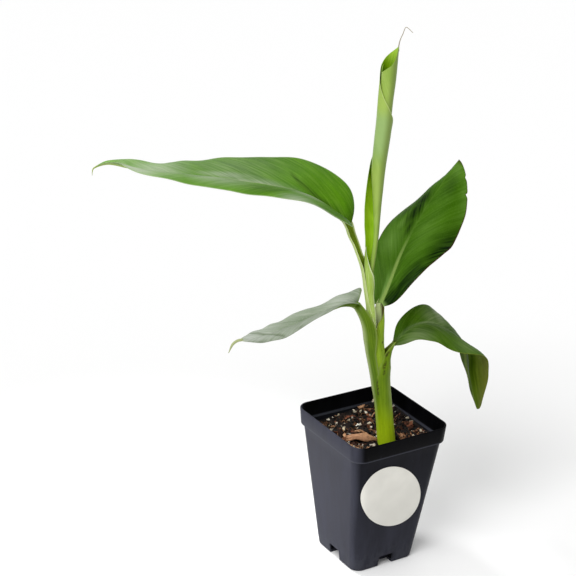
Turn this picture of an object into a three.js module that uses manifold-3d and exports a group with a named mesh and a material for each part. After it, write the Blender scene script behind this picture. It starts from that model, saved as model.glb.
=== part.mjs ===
// A young banana plant in a tapered square nursery pot. Millimetres, +Z up, the pot's underside on z = 0
// and its middle on the Z axis. The plant is drawn in its own frame and then turned in the pot.
import * as THREE from 'three';
import { mergeVertices } from 'three/addons/utils/BufferGeometryUtils.js';
import ManifoldLibrary from 'manifold-3d';

const library = await ManifoldLibrary();
library.setup();
const { Manifold, Mesh: SolidMesh } = library;

const GAP = 0.3; // clearance between neighbouring solids
const PLANT_TURN = THREE.MathUtils.degToRad(-32.5); // the plant against the pot's faces

const POT = {
  height: 135.6,
  rimHeight: 15.4,
  rimHalf: 50,
  rimFootHalf: 49,
  shoulderHalf: 47,
  baseHalf: 32.65,
  wall: 1.6,
  floor: 2.4,
  rimCorner: 12,
  bodyCorner: 11.6,
  baseCorner: 9.6,
  cornerSteps: 4,
  notchWidth: 15,
  notchHeight: 8.6,
  notchDepth: 6,
};
const LABEL = { wide: 32.8, tall: 31.6, lean: -0.2, across: -4.6, height: 75.9, thick: 0.6, sides: 40 };
const MIX = { level: 117, riseRight: 3.2, riseBack: 3.6, ripple: 1.1, rings: 6 };

const STEM = {
  path: [[12.4, -15.8, 115.4], [6.8, -14, 157.8], [2.8, -12.4, 181], [-2.2, -10, 203], [-5.4, -8.4, 226.4]],
  radii: [8.6, 7.6, 8.5, 8.6, 9.4],
  steps: 14,
  sides: 16,
};
const PETIOLES = {
  petiole_upper_left: {
    path: [[-7.2, -4.8, 226.8], [-8.6, -5, 244], [-11.4, -5, 262], [-20, -5, 287]],
    radii: [5, 4.9, 4.3, 3.8, 4.1],
    end: 4.2,
  },
  petiole_upper_right: { path: [[1, -2.6, 226.8], [1, -0.8, 234]], radii: [3.6, 3.2] },
  petiole_lower_left: { path: [[-8.8, -12.2, 226.8], [-13.4, -11.4, 236], [-17.2, -9, 240.8]], radii: [5.8, 4.8, 3.8] },
  petiole_lower_right: { path: [[7.9, -9, 185], [9.4, -7, 196], [12, -4.6, 203.6]], radii: [3.6, 3.4, 3.0] },
};
const PETIOLE_END = 2.8; // radius of a petiole where its blade begins

// Each blade has its midrib, the bearing it grows on, half its width, how far its left and right base lobes reach
// back, and by equal steps along the midrib how far its left and right halves are lifted from level, in degrees.
// A nib narrows a blade from a share of its length by a share of its width. An ear widens and lifts the base of its
// right half.
const BLADES = {
  leaf_upper_left: {
    petiole: 'petiole_upper_left',
    rib: [[-30, -4, 316], [-46, -6, 330.5], [-71, -7, 343], [-123, -4, 352], [-186, 0, 355.4], [-214, 2.4, 356.6],
      [-234, 4.2, 358], [-246.6, 5, 353]],
    bearing: 181, half: 40.5, skew: 0.05, widest: 0.27, rise: 0.4, fall: 0.74, thick: 2.5, ribDeep: 3.2, lobe: [3, 3],
    left: [2, 9, 1, 1, 8, 30], right: [33, 23, 12, 4, 1, 28], nib: { from: 0.86, share: 0.45 }, steps: 24,
  },
  leaf_upper_right: {
    petiole: 'petiole_upper_right',
    rib: [[1.1, 2, 242.7], [7.6, 12, 255.7], [17.5, 30, 278], [30.3, 50, 299], [45.8, 68, 320.2], [67, 84, 348.8]],
    bearing: 52, half: 33.3, skew: 0.12, widest: 0.58, rise: 0.57, fall: 0.67, thick: 2.0, ribDeep: 2.6, lobe: [3, 3],
    left: [-4, 17, 1, -20, -39, -62], right: [-9, 3, -17, -41, -31, -22], steps: 20,
  },
  leaf_lower_left: {
    petiole: 'petiole_lower_left',
    rib: [[-19.8, -6, 242.8], [-28.7, -11, 246], [-49, -20, 241], [-74.8, -30, 232.5], [-99, -39, 226],
      [-110, -43.4, 224.4], [-117.7, -45.5, 223.6]],
    bearing: 200, half: 18, skew: 0.01, widest: 0.58, rise: 0.34, fall: 0.6, thick: 1.8, ribDeep: 2.2, lobe: [0, 2],
    left: [24, 30, 24, 10, 2, 8], right: [50, -4, -3, -8, -8, 0], ear: { wide: 10.6, lift: 22, reach: 0.05 }, steps: 20,
  },
};
const ARCHED = {
  petiole: 'petiole_lower_right',
  rib: [[15, -2, 209], [28.2, 10, 217], [45, 24, 216.4], [62.6, 38, 206], [77.3, 50, 190.6], [86.9, 58, 174.4],
    [90, 59, 154], [99, 55, 118.6]],
  bearing: 40, half: 24.8, skew: 0.01, widest: 0.59, rise: 0.54, fall: 0.5, thick: 2.0, ribDeep: 2.4, lobe: [2, 2],
  left: [-16, 38, 24, 13, 27, 29], right: [-29, -42, -41, -5, 7, -13], steps: 26,
  bend: 0.62,
};
const ROLL = {
  path: [[-6.4, -4.6, 260], [-8.4, -4.2, 282], [-10.8, -4, 306], [-11.5, -3, 338], [-8, -2, 381], [-6, 0, 423.4], [-4.4, 0, 447]],
  radii: [2.4, 5.2, 7.3, 7.0, 6.4, 6.9],
  mouthLow: 446.5,
  mouthHigh: 468.4,
  wall: 1.3,
  cup: 26,
  steps: 18,
  sides: 18,
  hair: [[2.5, 0, 459], [1.9, 0, 468], [2.6, 0, 473.6], [4.7, 0, 478.8], [6.8, 0, 484.4], [9.3, 0, 482.9], [12.7, 0, 479.8]],
  hairRadius: 0.7,
};

const COLOURS = {
  pot: [0x17171b, 0.5], potting_mix: [0x3a2c24, 0.95], pot_label: [0xe9e7e2, 0.6],
  pseudostem: [0x8fa336, 0.5], petiole_upper_left: [0xa5bf57, 0.45], petiole_upper_right: [0x7d9140, 0.45],
  petiole_lower_left: [0x7d9a35, 0.45], petiole_lower_right: [0x869c3c, 0.45],
  leaf_upper_left: [0x4f8430, 0.4], leaf_upper_right: [0x3c7030, 0.4], leaf_lower_left: [0x7a8f78, 0.4],
  leaf_lower_right: [0x41752c, 0.4], leaf_lower_right_tip: [0x54672f, 0.45], rolled_leaf: [0x9bbb58, 0.4],
};

const vector = (p) => new THREE.Vector3(...p);

// A solid from rings of equally many points, each running anticlockwise seen against the direction of travel.
function loft(rings, pairedCaps = false) {
  const n = rings[0].length;
  const position = rings.flat().flatMap((p) => [p.x, p.y, p.z]);
  const index = [];
  for (let i = 0; i + 1 < rings.length; i += 1) {
    for (let j = 0; j < n; j += 1) {
      const a = i * n + j;
      const b = i * n + ((j + 1) % n);
      index.push(a, b, a + n, b, b + n, a + n);
    }
  }
  const last = (rings.length - 1) * n;
  if (pairedCaps) {
    for (let j = 0; j + 1 < n / 2; j += 1) {
      const [a, b, c, d] = [j, j + 1, n - 2 - j, n - 1 - j];
      index.push(a, d, b, b, d, c);
      index.push(last + a, last + b, last + d, last + b, last + c, last + d);
    }
  } else {
    for (const [start, flip] of [[0, true], [last, false]]) {
      const centre = new THREE.Vector3();
      rings[start ? rings.length - 1 : 0].forEach((p) => centre.addScaledVector(p, 1 / n));
      const c = position.push(centre.x, centre.y, centre.z) / 3 - 1;
      for (let j = 0; j < n; j += 1) {
        const a = start + j;
        const b = start + ((j + 1) % n);
        index.push(c, flip ? b : a, flip ? a : b);
      }
    }
  }
  const geometry = new THREE.BufferGeometry();
  geometry.setAttribute('position', new THREE.Float32BufferAttribute(position, 3));
  geometry.setIndex(index);
  return geometry;
}

function toSolid(geometry) {
  const bare = geometry.clone();
  bare.deleteAttribute('normal');
  bare.deleteAttribute('uv');
  const merged = mergeVertices(bare, 1e-4);
  const vertProperties = new Float32Array(merged.attributes.position.array);
  const triVerts = new Uint32Array(merged.index.array);
  const solid = new Manifold(new SolidMesh({ numProp: 3, vertProperties, triVerts }));
  if (solid.volume() > 0) {
    return solid;
  }
  return new Manifold(new SolidMesh({ numProp: 3, vertProperties, triVerts: triVerts.reverse() }));
}

function toGeometry(solid) {
  const mesh = solid.getMesh();
  const geometry = new THREE.BufferGeometry();
  geometry.setAttribute('position', new THREE.Float32BufferAttribute(mesh.vertProperties, 3));
  geometry.setIndex(Array.from(mesh.triVerts));
  const flat = geometry.toNonIndexed();
  flat.computeVertexNormals();
  return flat;
}

// A value a share u of the way along a list of equally spaced ones, on a smooth curve through them.
function along(values, u) {
  const last = values.length - 1;
  const x = THREE.MathUtils.clamp(u, 0, 1) * last;
  const i = Math.min(Math.floor(x), last - 1);
  const t = x - i;
  const [p0, p1, p2, p3] = [Math.max(i - 1, 0), i, i + 1, Math.min(i + 2, last)].map((k) => values[k]);
  return 0.5 * (2 * p1 + (p2 - p0) * t + (2 * p0 - 5 * p1 + 4 * p2 - p3) * t * t
    + (3 * p1 - p0 - 3 * p2 + p3) * t ** 3);
}

// Points, directions, right-hand sides and normals at equal steps along a curve, with no needless twist.
function rail(points, steps, bearingDeg, from = 0, to = 1) {
  const curve = new THREE.CatmullRomCurve3(points.map(vector));
  const bearing = THREE.MathUtils.degToRad(bearingDeg);
  const side = new THREE.Vector3(Math.sin(bearing), -Math.cos(bearing), 0);
  const stations = [];
  const lead = 40;
  for (let i = -lead; i <= steps; i += 1) {
    const u = i < 0 ? from * (1 + i / lead) : from + ((to - from) * i) / steps;
    const tangent = curve.getTangentAt(u);
    side.addScaledVector(tangent, -side.dot(tangent)).normalize();
    if (i >= 0) {
      stations.push({ u, at: curve.getPointAt(u), tangent, side: side.clone(), normal: side.clone().cross(tangent) });
    }
  }
  return stations;
}

// A limb: round rings along a path, with radii given by equal steps along it, all of it grown outwards if asked.
function limb({ path, radii, steps = 8, sides = 12 }, grow = 0) {
  const rings = rail(path, steps, 0).map(({ u, at, tangent, side, normal }, i) => {
    const r = along(radii, u) + grow;
    const end = Number(i === steps) - Number(i === 0);
    return Array.from({ length: sides }, (_, k) => {
      const angle = (2 * Math.PI * k) / sides;
      return at.clone()
        .addScaledVector(tangent, end * grow)
        .addScaledVector(side, r * Math.cos(angle))
        .addScaledVector(normal, -r * Math.sin(angle));
    });
  });
  return toSolid(loft(rings));
}

// Share of its full half width that a blade has at u: it swells to its widest place and narrows to its tip.
function width(u, { widest, rise, fall }) {
  const swell = Math.sin((Math.PI / 2) * Math.min(u / widest, 1)) ** rise;
  const narrow = Math.cos((Math.PI / 2) * THREE.MathUtils.clamp((u - widest) / (1 - widest), 0, 1)) ** fall;
  return swell * narrow;
}

const ACROSS = [-1, -0.72, -0.42, -0.12, 0, 0.12, 0.42, 0.72, 1]; // columns of a blade from margin to margin
const ARCH = 0.09; // how far the middle of a half stands over its chord, against its width

function blade(leaf, from = 0, to = 1) {
  const steps = Math.max(6, Math.round(leaf.steps * (to - from)));
  const nib = leaf.nib ?? { from: 0.9, share: 0 };
  const ear = leaf.ear ?? { wide: 0, lift: 0, reach: 0.05 };
  const rings = rail(leaf.rib, steps, leaf.bearing, from, to).map(({ u, at, tangent, side, normal }) => {
    const thick = leaf.thick * (1 - 0.35 * THREE.MathUtils.smoothstep(u, 0.85, 1));
    const narrowed = width(u, leaf) * (1 - nib.share * THREE.MathUtils.smoothstep(u, nib.from, nib.from + 0.08));
    const reach = Math.max(leaf.half * narrowed, 3.2 - 2.2 * u);
    const point = (across, under) => {
      const sign = Math.sign(across);
      const eared = sign > 0 ? Math.exp(-((u / ear.reach) ** 2)) : 0;
      const lift = THREE.MathUtils.degToRad(along(sign < 0 ? leaf.left : leaf.right, u) + ear.lift * eared);
      const w = (reach + ear.wide * eared) * (1 + sign * leaf.skew);
      const out = Math.abs(across) * w;
      const bulge = ARCH * w * Math.sin(Math.PI * Math.abs(across));
      const rib = across === 0 ? leaf.ribDeep * (1 - 0.8 * u) : 0;
      const lobe = leaf.lobe[sign < 0 ? 0 : 1] * across * across * (1 - THREE.MathUtils.smoothstep(u, 0, 0.14));
      return at.clone()
        .addScaledVector(tangent, -lobe)
        .addScaledVector(side, sign * (out * Math.cos(lift) - bulge * Math.sin(lift)))
        .addScaledVector(normal, out * Math.sin(lift) + bulge * Math.cos(lift) + (under ? -thick / 2 - rib : thick / 2));
    };
    const top = ACROSS.map((across) => point(across, false));
    const bottom = ACROSS.map((across) => point(across, true)).reverse();
    return [...top, ...bottom];
  });
  return toSolid(loft(rings, true));
}

// Rounded square outline at height z, anticlockwise seen from above.
function squareRing(half, corner, z) {
  const { cornerSteps } = POT;
  const c = half - corner;
  const ring = [];
  [[c, c], [-c, c], [-c, -c], [c, -c]].forEach(([x, y], quarter) => {
    for (let k = 0; k <= cornerSteps; k += 1) {
      const angle = (Math.PI / 2) * (quarter + k / cornerSteps);
      ring.push(new THREE.Vector3(x + corner * Math.cos(angle), y + corner * Math.sin(angle), z));
    }
  });
  return ring;
}

const shoulder = POT.height - POT.rimHeight;
const bodyHalf = (z) => THREE.MathUtils.lerp(POT.baseHalf, POT.shoulderHalf, z / shoulder);
const bodyCorner = (z) => THREE.MathUtils.lerp(POT.baseCorner, POT.bodyCorner, z / shoulder);
const bodyRing = (z, out = 0) => squareRing(bodyHalf(z) + out, bodyCorner(z) + out, z);

function makePot() {
  const { height, rimHalf, rimFootHalf, rimCorner, wall, floor, notchWidth, notchHeight, notchDepth } = POT;
  const body = toSolid(loft([bodyRing(0), bodyRing(shoulder + 0.01)]));
  const rim = toSolid(loft([squareRing(rimFootHalf, rimCorner, shoulder), squareRing(rimHalf, rimCorner, height)]));
  const inside = toSolid(loft([bodyRing(floor, -wall), bodyRing(shoulder + 1, -wall)]));
  const mouth = toSolid(loft([
    squareRing(rimFootHalf - wall, rimCorner - wall, shoulder + 0.9),
    squareRing(rimHalf - wall, rimCorner - wall, height + 1),
  ]));
  let pot = Manifold.union([body, rim]).subtract(inside).subtract(mouth);
  const arch = new THREE.Shape();
  arch.moveTo(-notchWidth / 2, -1);
  arch.lineTo(notchWidth / 2, -1);
  arch.lineTo(notchWidth / 2, notchHeight - 3);
  arch.quadraticCurveTo(notchWidth / 2, notchHeight, notchWidth / 2 - 3, notchHeight);
  arch.lineTo(3 - notchWidth / 2, notchHeight);
  arch.quadraticCurveTo(-notchWidth / 2, notchHeight, -notchWidth / 2, notchHeight - 3);
  const cutter = new THREE.ExtrudeGeometry(arch, { depth: notchDepth + 4, bevelEnabled: false, curveSegments: 3 });
  cutter.rotateX(Math.PI / 2).translate(0, -POT.baseHalf + notchDepth, 0);
  for (let face = 0; face < 4; face += 1) {
    pot = pot.subtract(toSolid(cutter.clone().rotateZ((face * Math.PI) / 2)));
  }
  return pot;
}

// The label: a round sticker on the front wall, a little lower to the right.
function makeLabel() {
  const { wide, tall, lean, across, height, thick, sides } = LABEL;
  const shell = toSolid(loft([bodyRing(20, GAP + thick), bodyRing(shoulder - 1, GAP + thick)]))
    .subtract(toSolid(loft([bodyRing(19, GAP), bodyRing(shoulder, GAP)])));
  const punch = new THREE.CylinderGeometry(1, 1, 40, sides).scale(wide, 1, tall);
  punch.applyMatrix4(new THREE.Matrix4().makeShear(0, lean, 0, 0, 0, 0)).translate(across, -POT.shoulderHalf, height);
  return shell.intersect(toSolid(punch));
}

// Height of the potting mix's surface: low at the front and left, heaped to the back and right.
function mixHeight(x, y) {
  const { level, riseRight, riseBack, ripple } = MIX;
  const right = THREE.MathUtils.smoothstep(x, -20, 46);
  const back = THREE.MathUtils.smoothstep(y, -20, 46);
  return level + riseRight * right + riseBack * back * right + ripple * Math.sin(x * 0.31 + 1) * Math.cos(y * 0.27);
}

function makeMix() {
  const low = POT.floor + GAP;
  const half = (z) => bodyHalf(z) - POT.wall - GAP;
  const edge = squareRing(half(MIX.level), bodyCorner(MIX.level) - POT.wall - GAP, 0);
  const rings = [bodyRing(low, -POT.wall - GAP)];
  for (let k = 0; k < MIX.rings; k += 1) {
    const share = 1 - k / MIX.rings;
    rings.push(edge.map((p) => {
      const [x, y] = [p.x * share, p.y * share];
      return new THREE.Vector3(x, y, mixHeight(x, y));
    }));
  }
  return toSolid(loft(rings));
}

function makeRoll() {
  const { path, radii, mouthLow, mouthHigh, wall, cup, steps, sides, hair, hairRadius } = ROLL;
  const foot = vector(path[path.length - 1]);
  const beyond = [foot.x + 2, foot.y, mouthHigh + 14];
  const outer = limb({ path: [...path, beyond], radii: [...radii, radii[radii.length - 1]], steps: steps + 3, sides });
  const start = new THREE.CatmullRomCurve3([...path, beyond].map(vector)).getPointAt(0.99 - (cup + 30) / 220);
  const hollow = limb({
    path: [start.toArray(), path[path.length - 1], beyond].map((p) => [...p]),
    radii: [0.4, radii[radii.length - 1] - wall, radii[radii.length - 1] - wall],
    steps: 5,
    sides,
  });
  const wedge = new THREE.BoxGeometry(60, 60, 60).translate(0, 0, 30);
  wedge.rotateY(-Math.atan2(mouthHigh - mouthLow, 2 * radii[radii.length - 1]));
  wedge.translate(foot.x, foot.y, (mouthLow + mouthHigh) / 2);
  const thread = limb({ path: hair, radii: [hairRadius, 0.5, 0.45, 0.4], steps: 12, sides: 6 });
  return Manifold.union([outer.subtract(hollow).subtract(toSolid(wedge)), thread]);
}

const turned = (solid) => solid.rotate([0, 0, THREE.MathUtils.radToDeg(PLANT_TURN)]);

function makePlant() {
  const parts = { pseudostem: limb(STEM) };
  const kept = [limb(STEM, GAP)];
  const clear = (solid) => kept.reduce((rest, other) => rest.subtract(other), solid);
  const leaves = { ...BLADES, leaf_lower_right: ARCHED };
  for (const leaf of Object.values(leaves)) {
    const { path, radii, end = PETIOLE_END } = PETIOLES[leaf.petiole];
    const petiole = { path: [...path, leaf.rib[0]], radii: [...radii, end] };
    parts[leaf.petiole] = clear(limb(petiole));
    kept.push(limb(petiole, GAP));
  }
  parts.rolled_leaf = clear(makeRoll());
  for (const [name, leaf] of Object.entries(BLADES)) {
    parts[name] = clear(blade(leaf));
  }
  const halfSplit = GAP / 2 / new THREE.CatmullRomCurve3(ARCHED.rib.map(vector)).getLength();
  parts.leaf_lower_right = clear(blade(ARCHED, 0, ARCHED.bend - halfSplit));
  parts.leaf_lower_right_tip = blade(ARCHED, ARCHED.bend + halfSplit, 1);
  return Object.fromEntries(Object.entries(parts).map(([name, solid]) => [name, turned(solid)]));
}

const plant = makePlant();
const solids = {
  pot: makePot(),
  potting_mix: makeMix().subtract(turned(limb(STEM, GAP))),
  pot_label: makeLabel(),
  ...plant,
};

const group = new THREE.Group();
for (const [name, solid] of Object.entries(solids)) {
  const [color, roughness] = COLOURS[name];
  const mesh = new THREE.Mesh(toGeometry(solid), new THREE.MeshStandardMaterial({ color, roughness, metalness: 0 }));
  mesh.name = name;
  group.add(mesh);
}

export default group;
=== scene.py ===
# A young banana plant in a tapered square nursery pot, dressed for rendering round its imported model.
# The plant is drawn in millimetres in its own frame, x right, y away and z up, and turned in the pot as a
# whole. The pot, the label and the mix are drawn in millimetres in the model's frame. Pieces are in metres.
import math
import random

import bmesh
import bpy
import numpy as np
from mathutils import Matrix, Vector


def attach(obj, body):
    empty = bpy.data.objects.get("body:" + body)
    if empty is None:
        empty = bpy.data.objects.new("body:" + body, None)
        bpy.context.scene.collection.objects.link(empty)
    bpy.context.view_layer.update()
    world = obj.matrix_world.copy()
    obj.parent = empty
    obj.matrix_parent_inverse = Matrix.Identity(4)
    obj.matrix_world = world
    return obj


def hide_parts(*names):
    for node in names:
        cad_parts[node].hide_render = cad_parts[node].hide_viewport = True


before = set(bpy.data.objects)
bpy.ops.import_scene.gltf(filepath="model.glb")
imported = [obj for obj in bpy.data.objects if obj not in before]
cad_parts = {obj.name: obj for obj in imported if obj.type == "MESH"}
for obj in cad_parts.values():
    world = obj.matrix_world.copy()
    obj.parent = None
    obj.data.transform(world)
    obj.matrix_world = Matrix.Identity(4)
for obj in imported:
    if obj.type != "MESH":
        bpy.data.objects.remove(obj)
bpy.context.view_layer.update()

MM = 0.001
PLANT_TURN = math.radians(-32.5)  # the plant against the pot's faces

POT_HEIGHT = 135.6
RIM_HEIGHT = 15.4
SHOULDER = POT_HEIGHT - RIM_HEIGHT
RIM_HALF, RIM_FOOT_HALF, SHOULDER_HALF, BASE_HALF = 50.0, 49.0, 47.0, 32.65
RIM_CORNER, BODY_CORNER, BASE_CORNER = 12.0, 11.6, 9.6
WALL, POT_FLOOR = 1.6, 2.4
FOOT_ROUND = 1.6  # the rounding of the pot's foot
FOOT_CORNER_GAIN = 1.4  # how much the corners' radius grows over that rounding
NOTCH_WIDTH, NOTCH_HEIGHT, NOTCH_DEPTH = 15.6, 10.6, 9.0
LABEL = {"wide": 32.8, "tall": 31.6, "lean": -0.34, "across": -4.9, "height": 75.9, "gap": 0.3, "thick": 0.6}
MIX = {"level": 117.0, "rise_right": 3.2, "rise_back": 3.6, "ripple": 1.1}
STEM_FOOT = (12.4, -15.8)  # middle of the stem where it leaves the mix, in the plant's frame


def smooth(x, low, high):
    """0 below low, 1 above high and a smooth step between."""
    t = np.clip((np.asarray(x, float) - low) / (high - low), 0, 1)
    return t * t * (3 - 2 * t)


def hump(x, middle, reach):
    """A soft bump of height 1 round a middle."""
    return np.exp(-(((np.asarray(x, float) - middle) / reach) ** 2))


def ripples(x, y, wave, seed, count=7):
    """Soft irregular waves of about that wavelength over a plane, between about -1 and 1."""
    rng = random.Random(seed)
    total = np.zeros(np.broadcast(x, y).shape)
    for _ in range(count):
        turn = rng.uniform(0, math.tau)
        pitch = math.tau / (wave * rng.uniform(0.6, 1.7))
        start = rng.uniform(0, math.tau)
        total = total + np.sin((x * math.cos(turn) + y * math.sin(turn)) * pitch + start)
    return total / math.sqrt(count)


def turned(points, angle):
    """Points turned about the upright axis."""
    p = np.asarray(points, float)
    c, s = math.cos(angle), math.sin(angle)
    return np.stack([p[..., 0] * c - p[..., 1] * s, p[..., 0] * s + p[..., 1] * c, p[..., 2]], -1)


def to_model(points):
    """Plant-frame millimetres to the model's frame, in metres."""
    return turned(points, PLANT_TURN) * MM


# Curves, as in the part's source

DIVISIONS = 60  # of a curve, between two of its points


def curve_points(points):
    """A centripetal Catmull-Rom curve through the points, finely divided, and its length at each division."""
    given = [np.array(p, float) for p in points]
    knots = [2 * given[0] - given[1], *given, 2 * given[-1] - given[-2]]
    line = []
    for x0, x1, x2, x3 in zip(knots, knots[1:], knots[2:], knots[3:]):
        d0, d1, d2 = (max(np.sum((b - a) ** 2) ** 0.25, 1e-4) for a, b in ((x0, x1), (x1, x2), (x2, x3)))
        t1 = ((x1 - x0) / d0 - (x2 - x0) / (d0 + d1) + (x2 - x1) / d1) * d1
        t2 = ((x2 - x1) / d1 - (x3 - x1) / (d1 + d2) + (x3 - x2) / d2) * d1
        t = np.linspace(0, 1, DIVISIONS, endpoint=False)[:, None]
        line.append(x1 + t1 * t + (3 * (x2 - x1) - 2 * t1 - t2) * t**2 + (2 * (x1 - x2) + t1 + t2) * t**3)
    line = np.concatenate([*line, given[-1][None]])
    length = np.concatenate([[0], np.cumsum(np.linalg.norm(np.diff(line, axis=0), axis=1))])
    return line, length


def rail(points, us, bearing):
    """Places, directions, right-hand sides and normals at shares of a curve's length, without needless twist,
    and that length."""
    line, length = curve_points(points)
    total = length[-1]
    look = 0.003

    def place(u):
        return np.stack([np.interp(np.clip(u, 0, 1) * total, length, line[:, k]) for k in range(3)], -1)

    b = math.radians(bearing)
    side = np.array([math.sin(b), -math.cos(b), 0.0])
    lead = np.linspace(0, us[0], 40, endpoint=False)
    sides, tangents = [], []
    for u in np.concatenate([lead, us]):
        tangent = place(u + look) - place(u - look)
        tangent /= np.linalg.norm(tangent)
        side = side - tangent * (side @ tangent)
        side /= np.linalg.norm(side)
        sides.append(side)
        tangents.append(tangent)
    sides = np.array(sides[len(lead):])
    tangents = np.array(tangents[len(lead):])
    return place(np.asarray(us)), tangents, sides, np.cross(sides, tangents), total


def along(values, u):
    """A value a share u of the way along a list of equally spaced ones, on a smooth curve through them."""
    v = np.array(values, float)
    last = len(v) - 1
    x = np.clip(u, 0, 1) * last
    i = np.minimum(np.floor(x).astype(int), last - 1)
    t = x - i
    p0, p1, p2, p3 = v[np.maximum(i - 1, 0)], v[i], v[i + 1], v[np.minimum(i + 2, last)]
    square = (2 * p0 - 5 * p1 + 4 * p2 - p3) * t**2
    cube = (3 * p1 - p0 - 3 * p2 + p3) * t**3
    return 0.5 * (2 * p1 + (p2 - p0) * t + square + cube)


def at_knots(points, values, us):
    """Values given at a curve's own points, read at shares of its length."""
    _, length = curve_points(points)
    knots = length[::DIVISIONS] / length[-1]
    return np.interp(us, knots, values)


# Pieces and their materials

class Piece:
    """A mesh gathered from lofts and loose parts, with values on its points that its material reads."""

    def __init__(self, name):
        self.name = name
        self.points = []
        self.faces = []
        self.values = {}
        self.count = 0

    def add(self, points, faces, **values):
        """Points in metres, faces by their numbers, and a value or a triple of values for each point."""
        points = np.asarray(points, float).reshape(-1, 3)
        self.points.append(points)
        self.faces += [[k + self.count for k in face] for face in faces]
        for name, value in values.items():
            filled = np.broadcast_to(value, (len(points),) + np.shape(value)[1:])
            self.values.setdefault(name, []).append((self.count, np.asarray(filled, float)))
        self.count += len(points)

    def loft(self, rings, paired=False, **values):
        """A closed body from rings of points. Paired ends are closed straight across, others by one face."""
        rings = np.asarray(rings, float)
        rows, n = rings.shape[:2]
        i, j = np.meshgrid(np.arange(rows - 1), np.arange(n), indexing="ij")
        k = (j + 1) % n
        quads = np.stack([i * n + j, i * n + k, (i + 1) * n + k, (i + 1) * n + j], -1).reshape(-1, 4).tolist()
        last = (rows - 1) * n
        if paired:
            for j in range(n // 2 - 1):
                quads.append([j, n - 1 - j, n - 2 - j, j + 1])
                quads.append([last + j, last + j + 1, last + n - 2 - j, last + n - 1 - j])
        else:
            quads.append(list(range(n))[::-1])
            quads.append([last + j for j in range(n)])
        flat = {name: np.asarray(v, float).reshape(rows * n, *np.shape(v)[2:]) for name, v in values.items()}
        self.add(rings.reshape(-1, 3), quads, **flat)

    def build(self, look, nodes=(), sharp=60):
        """The finished object, riding on the plant, with its faces turned outward."""
        mesh = bpy.data.meshes.new(self.name)
        mesh.from_pydata(np.concatenate(self.points), [], self.faces)
        for name, runs in self.values.items():
            wide = runs[0][1].ndim == 2
            made = mesh.attributes.new(name, "FLOAT_VECTOR" if wide else "FLOAT", "POINT")
            full = np.zeros((self.count, 3) if wide else self.count)
            for start, value in runs:
                full[start:start + len(value)] = value
            made.data.foreach_set("vector" if wide else "value", full.ravel())
        turn_outward(mesh)
        mesh.polygons.foreach_set("use_smooth", [True] * len(mesh.polygons))
        mesh.set_sharp_from_angle(angle=math.radians(sharp))
        mesh.materials.append(look)
        return dress(put_in_scene(self.name, mesh), nodes)


LOWER_SIDE = np.array([0, 0, 1])  # added to a place on a thin body's upper side, for its lower side


def both_sides(upper, lower):
    """Rows across the upper side of a thin body, then back across its lower side."""
    return np.concatenate([upper, lower[:, ::-1]], 1)


def everywhere(rings, value):
    """One value, or one triple of values, for every point of some rings."""
    return np.broadcast_to(value, rings.shape[:2] + np.shape(value))


def turn_outward(mesh):
    """Turns every closed body's faces outward."""
    work = bmesh.new()
    work.from_mesh(mesh)
    bmesh.ops.recalc_face_normals(work, faces=work.faces)
    work.to_mesh(mesh)
    work.free()
    mesh.update()


def put_in_scene(name, data):
    thing = bpy.data.objects.new(name, data)
    bpy.context.scene.collection.objects.link(thing)
    return thing


def dress(thing, nodes=()):
    """The piece rides on the plant and stands for its solids."""
    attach(thing, "root")
    if nodes:
        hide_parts(*nodes)
    return thing


def srgb(r, g, b):
    """A colour given as it shows on a screen, 0 to 255, in the renderer's own numbers."""
    return [((c / 255 + 0.055) / 1.055) ** 2.4 if c > 10 else c / 255 / 12.92 for c in (r, g, b)] + [1.0]


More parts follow.
